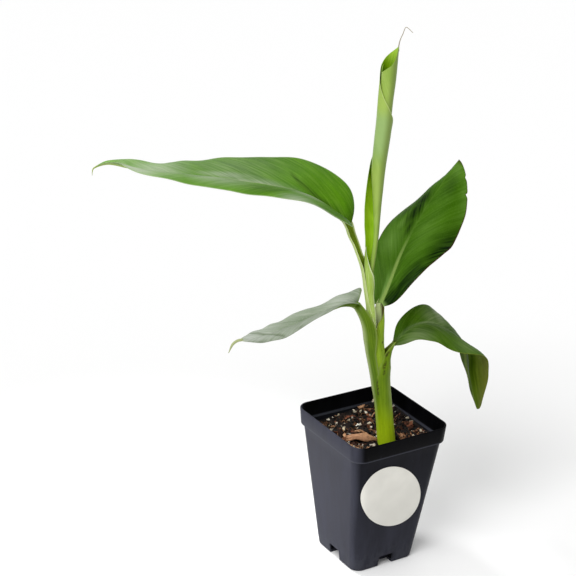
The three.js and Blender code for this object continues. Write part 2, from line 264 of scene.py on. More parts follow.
class Look:
    """A procedural material: each call adds a node and gives back what it puts out."""

    def __init__(self, name, roughness, specular):
        self.material = bpy.data.materials.new(name)
        self.material.use_nodes = True
        self.tree = self.material.node_tree
        self.shader = self.tree.nodes["Principled BSDF"]
        self.shader.inputs["Roughness"].default_value = roughness
        self.shader.inputs["Specular IOR Level"].default_value = specular

    def node(self, kind, inputs=(), **settings):
        made = self.tree.nodes.new(kind)
        for key, value in settings.items():
            setattr(made, key, value)
        for key, value in dict(inputs).items():
            self.put(value, made.inputs[key])
        return made

    def put(self, value, socket):
        if isinstance(value, bpy.types.NodeSocket):
            self.tree.links.new(value, socket)
        else:
            socket.default_value = value

    def finish(self, colour, roughness=None, normal=None):
        """The material, once its colour, and its roughness and dents where it has them, are on its shader."""
        for name, value in (("Base Color", colour), ("Roughness", roughness), ("Normal", normal)):
            if value is not None:
                self.put(value, self.shader.inputs[name])
        return self.material

    def math(self, operation, *values):
        return self.node("ShaderNodeMath", enumerate(values), operation=operation).outputs[0]

    def times(self, a, b):
        return self.math("MULTIPLY", a, b)

    def mix(self, share, a, b):
        """Two colours mixed. A triple is a colour as it shows on a screen."""
        a, b = (srgb(*colour) if isinstance(colour, tuple) else colour for colour in (a, b))
        sockets = {0: share, 6: a, 7: b}  # the node's factor and its two colours
        return self.node("ShaderNodeMix", sockets, data_type="RGBA").outputs[2]

    def coats(self, colour, *coats):
        """A colour under coats, each a share and a colour, the last one on top."""
        for share, coat in coats:
            colour = self.mix(share, colour, coat)
        return colour

    def step(self, value, low, high, start=0.0, end=1.0):
        """A smooth step between two values, from start to end."""
        inputs = {"Value": value, "From Min": low, "From Max": high, "To Min": start, "To Max": end}
        return self.node("ShaderNodeMapRange", inputs, interpolation_type="SMOOTHSTEP").outputs[0]

    def noise(self, vector, scale, detail=2.0, roughness=0.5):
        inputs = {"Vector": vector, "Scale": scale, "Detail": detail, "Roughness": roughness}
        return self.node("ShaderNodeTexNoise", inputs).outputs["Fac"]

    def streaks(self, x, x_scale, y, y_scale, z, detail=2.0):
        """Noise drawn out along y. Another z gives another pattern."""
        return self.noise(self.join(self.times(x, x_scale), self.times(y, y_scale), z), 1.0, detail)

    def spots(self, vector, scale):
        return self.node("ShaderNodeTexVoronoi", {"Vector": vector, "Scale": scale}).outputs["Distance"]

    def value(self, name):
        """A value on the mesh's points."""
        return self.node("ShaderNodeAttribute", attribute_name=name).outputs["Fac"]

    def triple(self, name):
        """A triple of values on the mesh's points."""
        return self.split(self.node("ShaderNodeAttribute", attribute_name=name).outputs["Vector"])

    def split(self, vector):
        return tuple(self.node("ShaderNodeSeparateXYZ", {0: vector}).outputs)

    def join(self, *values):
        return self.node("ShaderNodeCombineXYZ", enumerate(values)).outputs[0]

    def place(self):
        return self.node("ShaderNodeTexCoord").outputs["Object"]

    def stretched(self, vector, x, y, z):
        return self.node("ShaderNodeVectorMath", {0: vector, 1: (x, y, z)}, operation="MULTIPLY").outputs[0]

    def bump(self, height, distance, strength, below=None):
        inputs = {"Height": height, "Distance": distance, "Strength": strength}
        if below is not None:
            inputs["Normal"] = below
        return self.node("ShaderNodeBump", inputs).outputs[0]


# Veins leave the midrib at a shallow angle and bend towards the tip
VEIN_RUN, VEIN_OUT, VEIN_BEND = 0.4, 0.92, 0.006


def blade_look(name, tones):
    """A leaf blade's skin, with painted sheen and painted shade. Tones: deep, mid and bright green, the
    painted reflection, dark, rib, base, tip, margin and underside.
    """
    rough = 0.42
    look = Look(name, roughness=rough, specular=tones["gloss"])
    share, across, under = look.triple("place")
    run, out, _ = look.triple("run")
    reach = look.math("ABSOLUTE", out)
    bank = look.times(look.math("SIGN", out), 37.0)
    vein = look.math("SUBTRACT", look.times(run, VEIN_RUN), look.times(reach, VEIN_OUT))
    vein = look.math("ADD", vein, look.times(look.times(reach, reach), VEIN_BEND))
    flow = look.math("ADD", look.times(run, VEIN_OUT), look.times(reach, VEIN_RUN))
    broad = look.streaks(vein, 0.16, flow, 0.014, bank)
    fine = look.streaks(vein, 0.85, flow, 0.03, bank, 3.0)
    ribs = look.streaks(vein, 2.2, flow, 0.02, bank, 1.0)
    skin = look.join(run, out, bank)
    blotch = look.noise(skin, 0.09, 3.0)
    fleck = look.noise(skin, 1.1, 2.0, 0.6)
    wide = look.math("DIVIDE", reach, look.step(share, 0.0, 0.8, 1.6, 0.6))
    rib = look.step(wide, 0.4, 1.6, 1.0, 0.0)
    rib = look.times(rib, look.step(share, tones["rib_from"], tones["rib_to"], 1.0, 0.06))
    rib = look.times(rib, look.step(share, tones["rib_start"], tones["rib_start"] + 0.12))
    foot = look.math("ADD", share, look.times(fine, 0.02))
    upper = look.coats(
        look.mix(look.step(broad, 0.26, 0.74), tones["deep"], tones["mid"]),
        (look.times(look.step(fine, 0.42, 0.72), tones["streak"]), tones["bright"]),
        (look.times(look.step(blotch, 0.45, 0.75), 0.35), tones["deep"]),
        (look.step(fleck, 0.54, 0.68, 0.0, 0.3), tones["bright"]),
        # painted sheen: a pale reflection painted on in patches
        (look.times(look.value("wash"), look.step(fine, 0.2, 0.75, 0.55, 1.1)), tones["painted_reflection"]),
        # painted shade: dark patches in folds, hollows and halves turned from the light
        (look.times(look.value("shade"), look.step(fine, 0.3, 0.7, 1.0, 0.6)), tones["dark"]),
        (look.times(rib, tones["rib_share"]), tones["rib"]),
        (look.step(foot, 0.006, 0.034, 0.9, 0.0), tones["base"]),
        (look.step(share, 0.965, 1.0), tones["tip"]),
    )
    folds = look.streaks(out, 0.22, run, 0.014, 4.0)
    lower = look.coats(
        look.mix(look.step(folds, 0.38, 0.62), tones["under"], tones["under_deep"]),
        (look.step(reach, 0.9, 2.2, tones["under_rib_share"], 0.0), tones["under_rib"]),
        (look.step(across, 0.1, 0.9, 0.0, tones["under_edge_share"]), tones["under_edge"]),
        # painted shade on the lower side, where a groove lies in shadow
        (look.value("shade"), tones["dark"]),
    )
    edge = look.step(look.math("ABSOLUTE", across), 0.965, 0.995)
    colour = look.coats(
        upper,
        (look.step(under, 0.3, 0.7), lower),
        (look.times(edge, tones["margin_share"]), tones["margin"]),
    )
    dull = look.step(look.noise(skin, 0.8, 3.0), 0.3, 0.7, rough - 0.06, rough + 0.1)
    veins = look.bump(ribs, 0.00012, 0.55)
    return look.finish(colour, dull, look.bump(fine, 0.0004, 0.35, veins))


# Blades. Each has its midrib, the bearing it grows on, half its width and, by equal steps along the midrib,
# how far its halves are lifted from level, in degrees. Its left and right base lobes reach back by so much.
# A nib narrows it from a share of its length by a share of its width. An ear widens the foot of one half,
# lifts it by some degrees and fades along the blade. Waves ripple its margins, nicks are torn into them, and
# creases are folds pressed in, with painted shade along them. Washes of painted sheen (a pale reflection
# painted into the colour) and patches of painted shade are soft patches at (share along, share across), each
# with its reach along and across and its strength.

def blade_width(u, leaf):
    """How wide a blade is at a share of its length, against its widest."""
    swell = np.sin(np.pi / 2 * np.minimum(u / leaf["widest"], 1)) ** leaf["rise"]
    narrow = np.cos(np.pi / 2 * np.clip((u - leaf["widest"]) / (1 - leaf["widest"]), 0, 1)) ** leaf["fall"]
    return swell * narrow


LEAF_THICK = 0.55  # a blade's thickness beside its midrib
ARCH = 0.09  # how far the middle of a half stands over its chord, against its width
RIB_WIDE, RIB_TAPER = 2.1, 0.72  # half a midrib's width at its foot, and the share of it lost by the tip
GROOVE_DEEP, GROOVE_WIDE = 0.55, 1.1  # the channel over the midrib
PLEAT_HIGH, SWELL_HIGH, SWELL_WAVE = 0.09, 0.35, 42  # pleats between veins, and soft swells, in mm
BLADE_ROWS, HALF_COLUMNS = 190, 34

LEAVES = {
    "blade_upper_left": {
        "rib": [(-30, -4, 316), (-46, -6, 328.6), (-71, -7, 342.5), (-123, -4, 350.2), (-186, 0, 353.8),
                (-214, 2.4, 355.5), (-234, 4.2, 357.6), (-246.6, 5, 353)],
        "bearing": 181, "half": 40.5, "skew": 0.05, "widest": 0.27, "rise": 0.4, "fall": 0.74,
        "rib_deep": 3.0, "lobe": (3, 1), "nib": (0.86, 0.45),
        "left": [10.7, 8.8, 3, 3.8, 9.9, 37.8], "right": [45.2, 25.1, 15.1, 7.2, -0.5, 26.5],
        "tail_radii": [0.75, 0.45, 0.16],
        "tail": [(-243, 4.8, 355.2), (-246.4, 5, 352.6), (-247.2, 5, 349.8), (-247.3, 5, 346.7)],
        "nodes": ["leaf_upper_left"],
    },
    "blade_upper_right": {
        "rib": [(1.1, 2, 242.7), (7.6, 12, 255.7), (17.5, 30, 278), (30.3, 50, 299), (45.8, 68, 320.2),
                (67, 84, 348.8)],
        "bearing": 52, "half": 33.3, "skew": 0.12, "widest": 0.58, "rise": 0.57, "fall": 0.67,
        "rib_deep": 2.4, "lobe": (5, 3), "ear": (-1, 5, 0, 0.06),
        "left": [-4, 17, 1, -20, -39, -62], "right": [-9, 3, -17, -41, -31, -22],
        "nodes": ["leaf_upper_right"],
    },
    "blade_lower_left": {
        "rib": [(-19.8, -6, 242.8), (-28.7, -11, 246), (-49, -20, 241), (-74.8, -30, 232.5), (-99, -39, 226),
                (-110, -43.4, 224.4), (-117.7, -45.5, 223.6)],
        "bearing": 200, "half": 18, "skew": 0.01, "widest": 0.58, "rise": 0.34, "fall": 0.6,
        "rib_deep": 2.0, "lobe": (0, 2), "ear": (1, 10.6, 22, 0.05),
        "left": [24, 30, 24, 10, 2, 8], "right": [50, -4, -3, -8, -8, 0],
        "tail_radii": [1.3, 1.15, 0.3],
        "tail": [(-116, -45, 223.9), (-119.6, -45.5, 223.2), (-123.7, -45.5, 219.9), (-127.3, -45.5, 211.4)],
        "nodes": ["leaf_lower_left"],
    },
    "blade_lower_right": {
        "rib": [(15, -2, 209), (28.2, 10, 217), (45, 24, 216.4), (62.6, 38, 206), (77.3, 50, 190.6),
                (86.9, 58, 174.4), (90, 59, 154), (99, 55, 118.6)],
        "bearing": 40, "half": 24.8, "skew": 0.01, "widest": 0.59, "rise": 0.54, "fall": 0.5,
        "rib_deep": 2.2, "lobe": (1, 4),
        "left": [-16, 38, 24, 13, 27, 29], "right": [-29, -42, -41, -5, 7, -13],
        "nodes": ["leaf_lower_right", "leaf_lower_right_tip"],
    },
}
WAVES = {  # for the left and right margins: height in mm, waves along the leaf, and where they start
    "blade_upper_left": ((0.5, 4.5, 0.2), (0.7, 5.5, 0.6)),
    "blade_upper_right": ((0.5, 4.2, 0.0), (0.6, 5.0, 0.4)),
    "blade_lower_left": ((0.5, 4.0, 0.3), (0.5, 4.6, 0.1)),
    "blade_lower_right": ((0.7, 4.4, 0.7), (0.6, 3.6, 0.2)),
}
NICKS = {  # side, share along, depth in mm, reach
    "blade_upper_right": ((1, 0.85, 1.6, 0.008), (1, 0.93, 1.2, 0.008)),
}
# Patches of painted sheen: a pale reflection painted into a blade's upper side
PAINTED_SHEEN_PATCHES = {
    "blade_upper_left": (
        (0.2, -0.45, 0.05, 0.24, 0.7), (0.28, -0.2, 0.06, 0.2, 0.85), (0.4, -0.05, 0.11, 0.16, 1.0),
        (0.5, 0.12, 0.12, 0.12, 0.7), (0.24, -0.95, 0.05, 0.2, 0.7), (0.17, -1.0, 0.1, 0.05, 0.9),
        (0.54, -0.4, 0.12, 0.4, 0.6), (0.76, 0.0, 0.12, 0.9, 0.75), (0.83, -0.7, 0.1, 0.45, 1.0),
        (0.88, 0.3, 0.06, 1.0, 0.35), (0.5, 0.4, 0.2, 0.45, 0.28),
    ),
    "blade_upper_right": (
        (0.07, -0.15, 0.12, 0.13, 0.75), (0.12, -0.7, 0.16, 0.8, 0.2), (0.04, -1.0, 0.06, 0.3, 0.6),
        (0.5, 0.3, 0.16, 0.25, 0.12), (0.96, 0.3, 0.06, 0.9, 0.2), (0.84, 0.95, 0.1, 0.2, 0.2),
        (0.37, -0.5, 0.1, 0.3, 0.35), (0.5, -0.45, 0.05, 0.12, 0.3),
    ),
    "blade_lower_left": (
        (0.12, 0.4, 0.12, 1.5, 0.5), (0.95, 0.0, 0.22, 1.5, 1.0), (0.55, -0.8, 0.3, 0.4, 0.4),
    ),
    "blade_lower_right": (
        (0.35, -0.5, 0.05, 0.5, 0.75), (0.28, -0.3, 0.05, 0.45, 0.35), (0.5, 0.7, 0.08, 0.3, 0.25),
        (0.14, 0.7, 0.1, 0.5, 0.4),
        (0.08, 0.9, 0.1, 0.35, 0.5), (0.25, -0.04, 0.12, 0.04, 0.5), (0.33, 0.12, 0.12, 0.04, 0.4),
    ),
}
# Patches of painted shade, where folds, hollows and parts turned from the light fall dark
PAINTED_SHADE_PATCHES = {
    "blade_upper_left": (
        (0.06, -0.15, 0.05, 0.3, 0.6), (0.06, -0.55, 0.06, 0.4, 0.3), (0.2, 0.3, 0.1, 0.2, 0.25),
        (0.44, 0.6, 0.22, 0.8, 0.34), (0.62, 0.5, 0.14, 0.9, 0.32), (0.35, -0.62, 0.09, 0.22, 0.5),
        (0.01, 0.15, 0.03, 0.5, 0.6),
    ),
    "blade_upper_right": (
        (0.61, -0.26, 0.11, 0.2, 1.2), (0.7, -0.34, 0.07, 0.27, 1.1), (0.62, -0.65, 0.07, 0.3, 0.7),
        (0.5, -0.14, 0.08, 0.09, 0.9), (0.08, 0.9, 0.26, 0.5, 1.5), (0.42, 1.0, 0.22, 0.36, 1.3),
        (0.04, 0.4, 0.1, 0.35, 1.2), (0.84, 0.3, 0.08, 0.3, 0.45),
        (0.72, -0.85, 0.1, 0.3, 0.8), (0.28, 0.9, 0.12, 0.25, 0.6), (0.22, 0.14, 0.12, 0.1, 0.4),
    ),
    "blade_lower_left": (
        (0.86, -0.95, 0.1, 0.2, 0.6), (0.0, 0.1, 0.04, 0.35, 0.85), (0.04, 0.75, 0.03, 0.3, 0.22),
        (0.0, 0.8, 0.02, 0.25, 0.6), (0.3, 0.95, 0.03, 0.1, 0.5), (0.55, -0.85, 0.04, 0.1, 0.5),
    ),
    "blade_lower_right": (
        (0.1, -0.1, 0.06, 0.6, 0.6), (0.02, 0.0, 0.04, 1.5, 0.5), (0.2, 0.3, 0.12, 0.3, 0.5),
        (0.45, 0.05, 0.12, 0.2, 0.35),
    ),
}
UNDER_PAINTED_SHADE_PATCHES = {  # painted shade on the lower side, where a groove lies in shadow
    "blade_lower_right": (
        (0.73, -0.22, 0.04, 0.13, 1.0), (0.78, -0.33, 0.04, 0.13, 1.0), (0.83, -0.44, 0.04, 0.12, 0.85),
        (0.72, 0.1, 0.08, 0.06, 0.4),
    ),
}
CREASES = {  # points of share along and across, then reach across, strength of painted shade, and depth in mm
    "blade_upper_left": (
        ((0.08, 0.03), (0.15, 0.07), (0.19, 0.12), (0.235, 0.23), (0.28, 0.44)), 0.07, 0.75, 0.8),
    "blade_lower_left": (((0.68, -0.84), (0.74, -0.5), (0.823, 0.21), (0.906, 0.81)), 0.15, 0.75, 0.5),
}


def pressed(name, u, a):
    """Where a blade's fold is pressed in, 0 to 1, with the strength of its painted shade and its depth."""
    if name not in CREASES:
        return 0 * u * a, 0, 0
    points, reach, strength, depth = CREASES[name]
    shares, acrosses = zip(*points)
    first, last = shares[0], shares[-1]
    ends = smooth(u, first - 0.02, first + 0.02) * (1 - smooth(u, last - 0.03, last + 0.02))
    return hump(a, np.interp(u, shares, acrosses), reach) * ends, strength, depth


def patches(spots, u, a):
    """The strength of soft patches at each place on a blade."""
    total = np.zeros(np.broadcast(u, a).shape)
    for at_u, at_a, reach_u, reach_a, strength in spots:
        total = np.maximum(total, strength * hump(u, at_u, reach_u) * hump(a, at_a, reach_a))
    return np.minimum(total, 1)


def make_blade(name, look):
    """A leaf blade: two lifted halves, with lobes, waves and folds, beside a midrib that stands out below."""
    leaf = LEAVES[name]
    us = np.linspace(0, 1, BLADE_ROWS)
    at, tangent, side, normal, total = rail(leaf["rib"], us, leaf["bearing"])
    half = (np.linspace(0, 1, HALF_COLUMNS + 1) ** 1.5)[1:]
    a = np.concatenate([-half[::-1], [0], half])[None, :]
    u = us[:, None]
    sign = np.sign(a)
    nib_from, nib_share = leaf.get("nib", (0.9, 0))
    wide = leaf["half"] * blade_width(u, leaf) * (1 - nib_share * smooth(u, nib_from, nib_from + 0.08))
    ear_side, ear_wide, ear_lift, ear_reach = leaf.get("ear", (1, 0, 0, 0.05))
    ear = hump(u, 0, ear_reach) * (sign == ear_side)
    least = (3.2 - 2.2 * u) * (1 - 0.85 * smooth(u, 0.93, 1))
    reach = np.maximum(wide, least) + ear_wide * ear
    for nick_side, nick_at, depth, nick_reach in NICKS.get(name, ()):
        reach = reach - depth * hump(u, nick_at, nick_reach) * (sign == nick_side)
    w = reach * (1 + sign * leaf["skew"])
    out = np.abs(a) * w
    lift = np.radians(np.where(sign < 0, along(leaf["left"], u), along(leaf["right"], u)) + ear_lift * ear)
    bulge = ARCH * w * np.sin(np.pi * np.abs(a))
    for k, (height, count, start) in enumerate(WAVES[name]):
        wave = height * np.sin(math.tau * (count * u + start + 0.25 * np.sin(7 * u + k)))
        bulge = bulge + wave * np.abs(a) ** 2.5 * (np.sign(k - 0.5) == sign) * smooth(w, 2, 12)
    signed = sign * out
    run = u * total + 0 * a
    vein = VEIN_RUN * run - VEIN_OUT * out + VEIN_BEND * out**2
    pleat = PLEAT_HIGH * np.sin(vein * 1.05 + 1.3 * np.sin(run * 0.05))
    pleat = pleat * smooth(out, 1.5, 6) * (1 - smooth(np.abs(a), 0.8, 1))
    pleat = pleat + SWELL_HIGH * ripples(run, signed, SWELL_WAVE, 5) * smooth(out, 2, 10)
    fold, fold_strength, fold_depth = pressed(name, u, a)
    pleat = pleat - fold_depth * fold
    lobe = np.where(sign < 0, *leaf["lobe"]) * a * a * (1 - smooth(u, 0, 0.14))
    thick = LEAF_THICK * (1 - 0.7 * smooth(np.abs(a), 0.86, 1)) * (1 - 0.4 * smooth(u, 0.85, 1))
    groove = GROOVE_DEEP * hump(out, 0, GROOVE_WIDE) * (1 - 0.7 * u) * smooth(reach, 1, 4)
    rib_wide = RIB_WIDE * (1 - RIB_TAPER * u)
    rib = leaf["rib_deep"] * (1 - 0.84 * u) * 0.75 * np.sqrt(np.clip(1 - (out / rib_wide) ** 2, 0, 1))
    rib = rib * smooth(u, 0.0, 0.03) * (1 - smooth(u, 0.93, 1))

    def layer(up):
        across = signed * np.cos(lift) - sign * bulge * np.sin(lift)
        rise = out * np.sin(lift) + bulge * np.cos(lift) + up
        return (at[:, None] - tangent[:, None] * lobe[..., None] + side[:, None] * across[..., None]
                + normal[:, None] * rise[..., None])

    top = layer(thick / 2 + pleat - groove)
    bottom = layer(pleat - thick / 2 - groove * 0.5 - rib)
    full_u, full_a = u + 0 * a, a + 0 * u
    place = np.stack([full_u, full_a, 0 * full_u], -1)
    mm = np.stack([run, signed, 0 * run], -1)
    # painted sheen, and painted shade from patches and pressed creases
    wash = patches(PAINTED_SHEEN_PATCHES[name], full_u, full_a)
    shade = np.maximum(patches(PAINTED_SHADE_PATCHES[name], full_u, full_a), fold_strength * fold)
    under_shade = patches(UNDER_PAINTED_SHADE_PATCHES.get(name, ()), full_u, full_a)
    piece = Piece(name)
    piece.loft(
        to_model(both_sides(top, bottom)), paired=True,
        place=both_sides(place, place + LOWER_SIDE), run=both_sides(mm, mm),
        wash=both_sides(wash, 0 * wash), shade=both_sides(shade, under_shade),
    )
    if "tail" in leaf:
        tail = np.linspace(0, 1, 14)
        rings = tube(leaf["tail"], along(leaf["tail_radii"], tail), tail, 8)
        piece.loft(to_model(rings), place=everywhere(rings, (1, 0, 0)), run=everywhere(rings, (total, 0, 0)),
                   wash=everywhere(rings, 0), shade=everywhere(rings, 0))
    return piece.build(look, leaf["nodes"])


def tube(path, radii, us, sides):
    """Round rings along a path."""
    at, _, side, normal, _ = rail(path, us, 0)
    angle = np.arange(sides) / sides * math.tau
    ring = side[:, None] * np.cos(angle)[None, :, None] + normal[:, None] * np.sin(angle)[None, :, None]
    return at[:, None] + ring * np.asarray(radii)[:, None, None]


# Sheaths. A leaf's foot wraps the stem, with its keel on the bearing that the leaf grows on, and narrows into
# a channelled petiole that runs on under the blade as its midrib. Each point of the path has a radius, the
# angles that the sheath wraps to its left and right of the keel, and how far it has turned into petiole.

SHEATHS = {
    "sheath_lower_right": {
        "bearing": 40, "nodes": ["pseudostem", "petiole_lower_right"],
        "stations": [
            ((13.1, -15.8, 113.0), 8.3, 130, 160, 0), ((9.5, -14.9, 140), 7.7, 130, 160, 0),
            ((7.0, -14, 157.8), 7.8, 128, 160, 0), ((4.8, -13.2, 170), 8.4, 126, 158, 0),
            ((3.6, -12.3, 181), 8.8, 122, 152, 0), ((4.0, -11.2, 189), 8.6, 118, 146, 0),
            ((5.4, -9.6, 195), 7.0, 110, 142, 0), ((8.0, -7.4, 200), 4.8, 104, 142, 0.1),
            ((10.4, -5.6, 203.6), 3.2, 98, 138, 0.4), ((14.2, -2.4, 208.5), 2.0, 80, 84, 1),
            ((18.0, 1.2, 210.2), 1.1, 60, 60, 1), ((24.0, 7, 212.6), 0.6, 50, 50, 1),
        ],
    },
    "sheath_lower_left": {
        "bearing": 200, "nodes": ["petiole_lower_left"],
        "stations": [
            ((13.1, -15.8, 113.0), 8.15, 66, 150, 0), ((9.5, -14.9, 140), 7.55, 66, 150, 0),
            ((7.0, -14, 157.8), 7.65, 66, 150, 0), ((4.8, -13.2, 170), 8.2, 66, 150, 0),
            ((2.9, -12.4, 181), 8.4, 68, 150, 0), ((-2.0, -10, 203), 8.6, 72, 146, 0),
            ((-4.8, -9.6, 215), 8.3, 94, 140, 0), ((-8.2, -11.0, 226.8), 7.0, 114, 130, 0.05),
            ((-12.6, -10.6, 235), 5.4, 124, 118, 0.35), ((-17.2, -8.6, 240.8), 4.3, 130, 104, 0.7),
            ((-19.8, -6, 242.8), 4.0, 132, 95, 0.8), ((-24.6, -8.6, 245), 2.8, 104, 82, 1),
            ((-30, -11.6, 245.2), 1.5, 70, 70, 1), ((-36, -14.2, 244.6), 0.8, 60, 60, 1),
        ],
    },
    "sheath_upper_right": {
        "bearing": 52, "nodes": ["petiole_upper_right"],
        "stations": [
            ((12.4, -15.8, 113.0), 6.6, 100, 165, 0), ((6.8, -14, 157.8), 6.0, 100, 165, 0),
            ((2.9, -12.4, 181), 7.5, 100, 165, 0), ((-1.8, -9.8, 203), 8.1, 100, 165, 0),
            ((-1.5, -7.2, 215), 6.7, 120, 164, 0), ((0.4, -3.6, 226.2), 4.5, 136, 157, 0),
            ((0.6, -1.8, 231.6), 4.0, 132, 112, 0.1), ((0.2, 0.4, 238.7), 3.8, 128, 66, 0.3),
            ((0.4, 1.8, 242.7), 3.3, 112, 62, 0.6), ((4.4, 7, 249.4), 2.2, 80, 70, 1),
            ((8.6, 13.4, 257.2), 1.7, 70, 70, 1),
        ],
    },
    "sheath_upper_left": {
        "bearing": 181, "nodes": ["petiole_upper_left"],
        "stations": [
            ((12.4, -15.8, 113.0), 5.8, 140, 150, 0), ((6.8, -14, 157.8), 5.2, 140, 148, 0),
            ((2.8, -12.4, 181), 6.2, 140, 146, 0), ((-2.2, -9.6, 203), 6.6, 140, 142, 0),
            ((-4.4, -8.0, 215), 5.8, 150, 140, 0), ((-6.6, -6.4, 226.8), 4.3, 130, 140, 0),
            ((-7.4, -5.6, 234), 3.95, 112, 140, 0), ((-8.8, -5.3, 243.5), 3.5, 88, 140, 0),
            ((-9.9, -5.1, 252.6), 4.05, 76, 140, 0), ((-10.9, -5, 262), 4.8, 66, 140, 0),
            ((-12.3, -5, 271), 5.0, 62, 140, 0), ((-15.4, -5, 279.5), 4.0, 72, 140, 0),
            ((-19.4, -5, 288), 3.0, 76, 140, 0), ((-23.3, -4.6, 298), 3.2, 72, 140, 0),
            ((-27.2, -4.3, 306.5), 3.8, 64, 140, 0), ((-30.6, -4, 316), 4.3, 60, 136, 0),
            ((-37, -5, 322.4), 2.6, 70, 80, 1), ((-45, -6, 327.9), 1.9, 70, 70, 1),
        ],
    },
    "sheath_wing": {
        "bearing": 181, "nodes": [],
        "stations": [
            ((-4.8, -7.8, 215), 4.6, 160, 150, 0), ((-6.6, -6.4, 226.8), 4.0, 168, 150, 0),
            ((-7.3, -5.8, 234), 4.1, 170, 150, 0), ((-8.5, -5.3, 243.5), 3.4, 172, 150, 0),
            ((-9.85, -5.1, 252.6), 3.7, 172, 150, 0),
            ((-10.6, -5, 262), 4.4, 172, 140, 0), ((-11.3, -4.9, 271), 4.6, 150, 120, 0),
            ((-11.2, -4.8, 276), 4.7, 112, 100, 0), ((-11.1, -4.7, 281.3), 4.8, 87, 80, 0),
            ((-11.0, -4.6, 288.5), 4.8, 59, 60, 0), ((-10.8, -4.5, 296.5), 4.7, 14, 14, 0),
        ],
    },
}
SHEATH_THICK = 1.1
SCARS = {  # brown marks: height in mm, share across, reach in mm, strength
    "sheath_lower_right": (
        (201, 0.86, 2.8, 0.9), (193, 0.8, 3.4, 1.0), (187, 0.76, 2.4, 0.8), (172, 0.975, 9.0, 1.0)),
    "sheath_upper_right": ((212, 0.55, 1.3, 0.9), (206, 0.6, 1.0, 0.6)),
    "sheath_lower_left": ((176, -0.93, 4.0, 0.6),),
}
SCAR_WIDE = 1.5


def make_sheath(name, look):
    """A leaf's foot, wrapped round the stem below and narrowed into a channelled petiole above."""
    sheath = SHEATHS[name]
    path, radii, left_wraps, right_wraps, turned_in = zip(*sheath["stations"])
    us = np.linspace(0, 1, 150)
    at, _, side, normal, total = rail(path, us, sheath["bearing"])
    radius = at_knots(path, radii, us)[:, None]
    left_wrap = np.radians(at_knots(path, left_wraps, us))[:, None]
    right_wrap = np.radians(at_knots(path, right_wraps, us))[:, None]
    petiole = smooth(at_knots(path, turned_in, us), 0, 1)[:, None]
    share = np.linspace(-1, 1, 61)[None, :]
    wrap = np.where(share < 0, left_wrap, right_wrap)
    phi = share * wrap
    ridge = 0.035 * np.sin(share * 60) * (1 - petiole)
    freed = smooth(at[:, None, 2], 176, 192)
    flare = 0.35 * smooth(np.abs(share), 0.8, 1) * (1 - petiole) * freed
    outer = radius + ridge + flare
    x_out, y_out = outer * np.sin(phi), outer * np.cos(phi)
    thin = SHEATH_THICK * (0.28 + 0.72 * np.cos(share * math.pi / 2) ** 0.6)
    inner = np.maximum(outer - thin, outer * 0.55)
    x_sheath, y_sheath = inner * np.sin(phi), inner * np.cos(phi)
    chord = radius * np.cos(wrap)
    edge_x = radius * np.abs(np.sin(wrap)) - 0.35
    x_channel = np.sin(share * math.pi / 2) * edge_x
    y_channel = chord + (0.42 * radius) * np.cos(share * math.pi / 2) ** 0.8
    x_in = x_sheath * (1 - petiole) + x_channel * petiole
    y_in = y_sheath * (1 - petiole) + y_channel * petiole

    def place(x, y):
        return at[:, None] + side[:, None] * x[..., None] - normal[:, None] * y[..., None]

    outside = place(x_out + 0 * phi, y_out + 0 * phi)
    inside = place(x_in, y_in)
    full_u, full_a = us[:, None] + 0 * share, share + 0 * us[:, None]
    where = np.stack([full_u, full_a, 0 * full_u], -1)
    mm = np.stack([full_u * total, phi * radius, outside[..., 2]], -1)
    scar = np.zeros(full_u.shape)
    for height, across, reach, strength in SCARS.get(name, ()):
        near = hump(outside[..., 2], height, reach) * hump((full_a - across) * wrap * radius, 0, SCAR_WIDE)
        scar = np.maximum(scar, strength * near)
    leaving = petiole + 0 * share
    piece = Piece(name)
    piece.loft(
        to_model(both_sides(outside, inside)), paired=True,
        place=both_sides(where, where + LOWER_SIDE), run=both_sides(mm, mm),
        scar=both_sides(scar, 0 * scar), petiole=both_sides(leaving, leaving),
    )
    return piece.build(look, sheath["nodes"])


